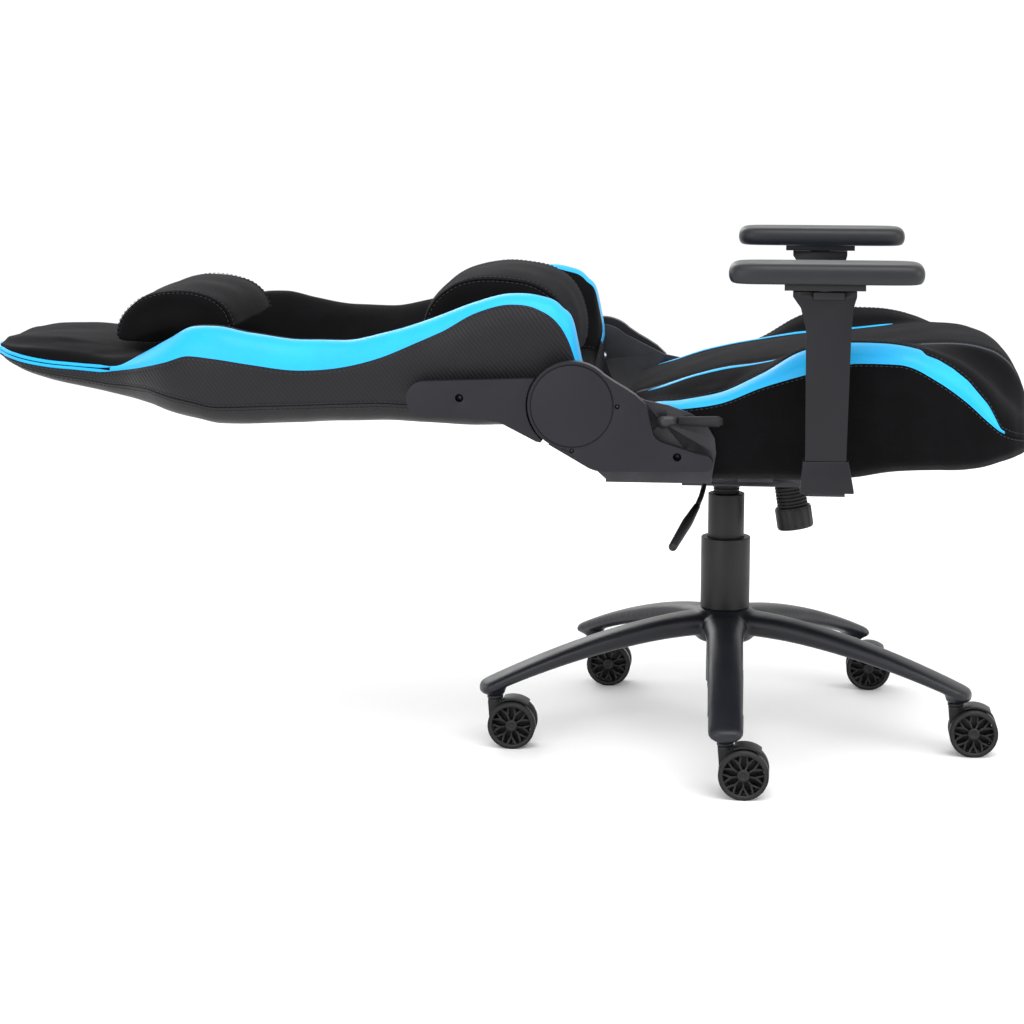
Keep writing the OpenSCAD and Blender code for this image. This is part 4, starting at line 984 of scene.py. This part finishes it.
LOOKS = {
    COVER: ["seat_bracket_cover_left", "seat_bracket_cover_right", "back_bracket_cover_left",
            "back_bracket_cover_right"],
    DARK: ["dust_cover_lower", "dust_cover_middle", "height_lever_paddle", "tilt_lock_slider",
           "tension_knob", "stem_sockets", "height_button_left", "height_button_right",
           "pad_turn_plate_left", "pad_turn_plate_right"],
    SLEEVE: ["armrest_sleeve_left", "armrest_sleeve_right", "armrest_feet"],
    RUBBER: ["ribbed_collar", "tension_bellows", "recline_lever_grip"],
    TYRE: [f"caster_wheels_{k}" for k in range(1, 6)] + [f"caster_fork_{k}" for k in range(1, 6)],
    STEEL_DARK: ["gas_outer_cylinder", "mechanism_housing", "mechanism_top_plate", "seat_frame",
                 "back_frame", "seat_brackets", "back_brackets", "recliner_gears", "height_lever_rod",
                 "recline_lever_arm", "bracket_screws", "back_screws", "armrest_brackets",
                 "mounting_bolts"],
    STEEL: ["gas_piston", "caster_stems", "tilt_spring", "tilt_pivot_pin", "pivot_bolts"],
    WEBBING: ["seat_webbing", "back_webbing"],
}
BEVELS = {
    "seat_bracket_cover_left": 1.6, "seat_bracket_cover_right": 1.6, "back_bracket_cover_left": 1.6,
    "back_bracket_cover_right": 1.6, "armrest_sleeve_left": 2.2, "armrest_sleeve_right": 2.2,
    "armrest_feet": 1.6, "dust_cover_lower": 1.0, "dust_cover_middle": 0.8, "tension_knob": 0.6,
    "height_button_left": 0.8, "height_button_right": 0.8, "pad_turn_plate_left": 1.0,
    "pad_turn_plate_right": 1.0, "mechanism_housing": 0.6, "seat_brackets": 0.6, "back_brackets": 0.6,
    "ribbed_collar": 0.4, "tension_bellows": 0.7, "mechanism_top_plate": 0.5,
}
for k in range(1, 6):
    BEVELS[f"caster_fork_{k}"] = 0.6


def dress(name, mat):
    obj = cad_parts[name]
    obj.data.materials.clear()
    obj.data.materials.append(mat)
    weld = obj.modifiers.new("weld", "WELD")
    weld.merge_threshold = 0.00002
    if name in BEVELS:
        bevel = obj.modifiers.new("bevel", "BEVEL")
        bevel.width = BEVELS[name] * MM
        bevel.segments = 3
        bevel.limit_method = "ANGLE"
        bevel.angle_limit = math.radians(38)
        bevel.harden_normals = False
    obj.data.polygons.foreach_set("use_smooth", [True] * len(obj.data.polygons))


for look, names in LOOKS.items():
    for node_name in names:
        dress(node_name, look)

# ---------- Star base: round arched legs that flow into the hub ----------

LEG_REACH, LEG_END, LEG_ROOT = 0.329, 0.350, 0.020
LEG_TURN = 181.85
LEG_ROUND = 0.020       # length of the rounded tip
VOXEL, SMOOTH_ROUNDS = 0.0028, 9


def leg_shape(r):
    """Height of the middle, half height and half width of a leg at a distance from the column."""
    t = (r - 0.030) / (LEG_END - 0.030)
    top = 0.0885 + 0.085 * (1 - max(t, 0) ** 1.6)
    low = 0.071 + 0.070 * (1 - min(max(t, 0), 1) ** 1.7)
    swell = 0.004 * math.exp(-((r - 0.05) / 0.03) ** 2)
    return (top + low) / 2, (top - low) / 2, 0.0255 - 0.0018 * max(t, 0) + swell


def star_base():
    points, faces = [], []
    sides = 28
    for leg in range(5):
        a = math.radians(LEG_TURN + 72 * leg)
        out = np.array([math.cos(a), math.sin(a), 0])
        across = np.array([-math.sin(a), math.cos(a), 0])
        rs = list(np.linspace(LEG_ROOT, LEG_END - LEG_ROUND, 34))
        rs += [LEG_END - LEG_ROUND * (1 - math.sin(q)) for q in np.linspace(0.2, 1.5, 8)]
        base = len(points)
        for r in rs:
            mid, tall, wide = leg_shape(r)
            over = max(0.0, (r - (LEG_END - LEG_ROUND)) / 0.0201)
            shut = max(0.02, 1 - over ** 4) ** 0.4
            tall, wide = tall * (0.55 + 0.45 * shut), wide * shut
            for k in range(sides):
                q = 2 * math.pi * k / sides
                cq, sq = math.cos(q), math.sin(q)
                x = math.copysign(abs(cq) ** 0.72, cq) * wide
                z = math.copysign(abs(sq) ** 0.80, sq) * tall
                points.append(out * r + across * x + np.array([0, 0, mid + z]))
        count = len(rs)
        for i in range(count - 1):
            for k in range(sides):
                p, q = base + i * sides + k, base + i * sides + (k + 1) % sides
                faces.append((p, q, q + sides, p + sides))
        faces.append(tuple(range(base, base + sides))[::-1])
        faces.append(tuple(base + (count - 1) * sides + k for k in range(sides)))
        boss = out * LEG_REACH
        add_turned(points, faces, boss, [(0.0125, 0.0705), (0.014, 0.073), (0.015, 0.082), (0.014, 0.086)])
    add_turned(points, faces, np.zeros(3), [
        (0.032, 0.130), (0.040, 0.134), (0.044, 0.142), (0.043, 0.152), (0.040, 0.162), (0.0375, 0.170),
        (0.037, 0.1765), (0.0358, 0.178),
    ])
    obj = outward(new_object("star_base_casting", points, faces, [BASE]))
    mod = obj.modifiers.new("remesh", "REMESH")
    mod.mode = "VOXEL"
    mod.voxel_size = VOXEL
    mod.use_smooth_shade = True
    done = obj.evaluated_get(bpy.context.evaluated_depsgraph_get())
    mesh = bpy.data.meshes.new_from_object(done)
    obj.modifiers.clear()
    obj.data = mesh
    bm = bmesh.new()
    bm.from_mesh(mesh)
    for _ in range(SMOOTH_ROUNDS):
        bmesh.ops.smooth_vert(
            bm, verts=bm.verts, factor=0.5, use_axis_x=True, use_axis_y=True, use_axis_z=True
        )
    bm.to_mesh(mesh)
    bm.free()
    mesh.polygons.foreach_set("use_smooth", [True] * len(mesh.polygons))
    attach(obj, "base")
    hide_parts("star_base")


def add_turned(points, faces, at, profile, sides=48):
    """Closed solid of revolution: profile of (radius, height), bottom first."""
    base = len(points)
    for r, z in profile:
        for k in range(sides):
            q = 2 * math.pi * k / sides
            points.append(at + np.array([r * math.cos(q), r * math.sin(q), z]))
    for i in range(len(profile) - 1):
        for k in range(sides):
            p, q = base + i * sides + k, base + i * sides + (k + 1) % sides
            faces.append((p, q, q + sides, p + sides))
    faces.append(tuple(range(base, base + sides))[::-1])
    faces.append(tuple(base + (len(profile) - 1) * sides + k for k in range(sides)))


star_base()

# ---------- Floor ----------

FLOOR_HALF = 40
floor = new_object(
    "floor", [(-FLOOR_HALF, -FLOOR_HALF, 0), (FLOOR_HALF, -FLOOR_HALF, 0), (FLOOR_HALF, FLOOR_HALF, 0),
              (-FLOOR_HALF, FLOOR_HALF, 0)], [(0, 1, 2, 3)], [floor_material()],
    smooth=False,
)
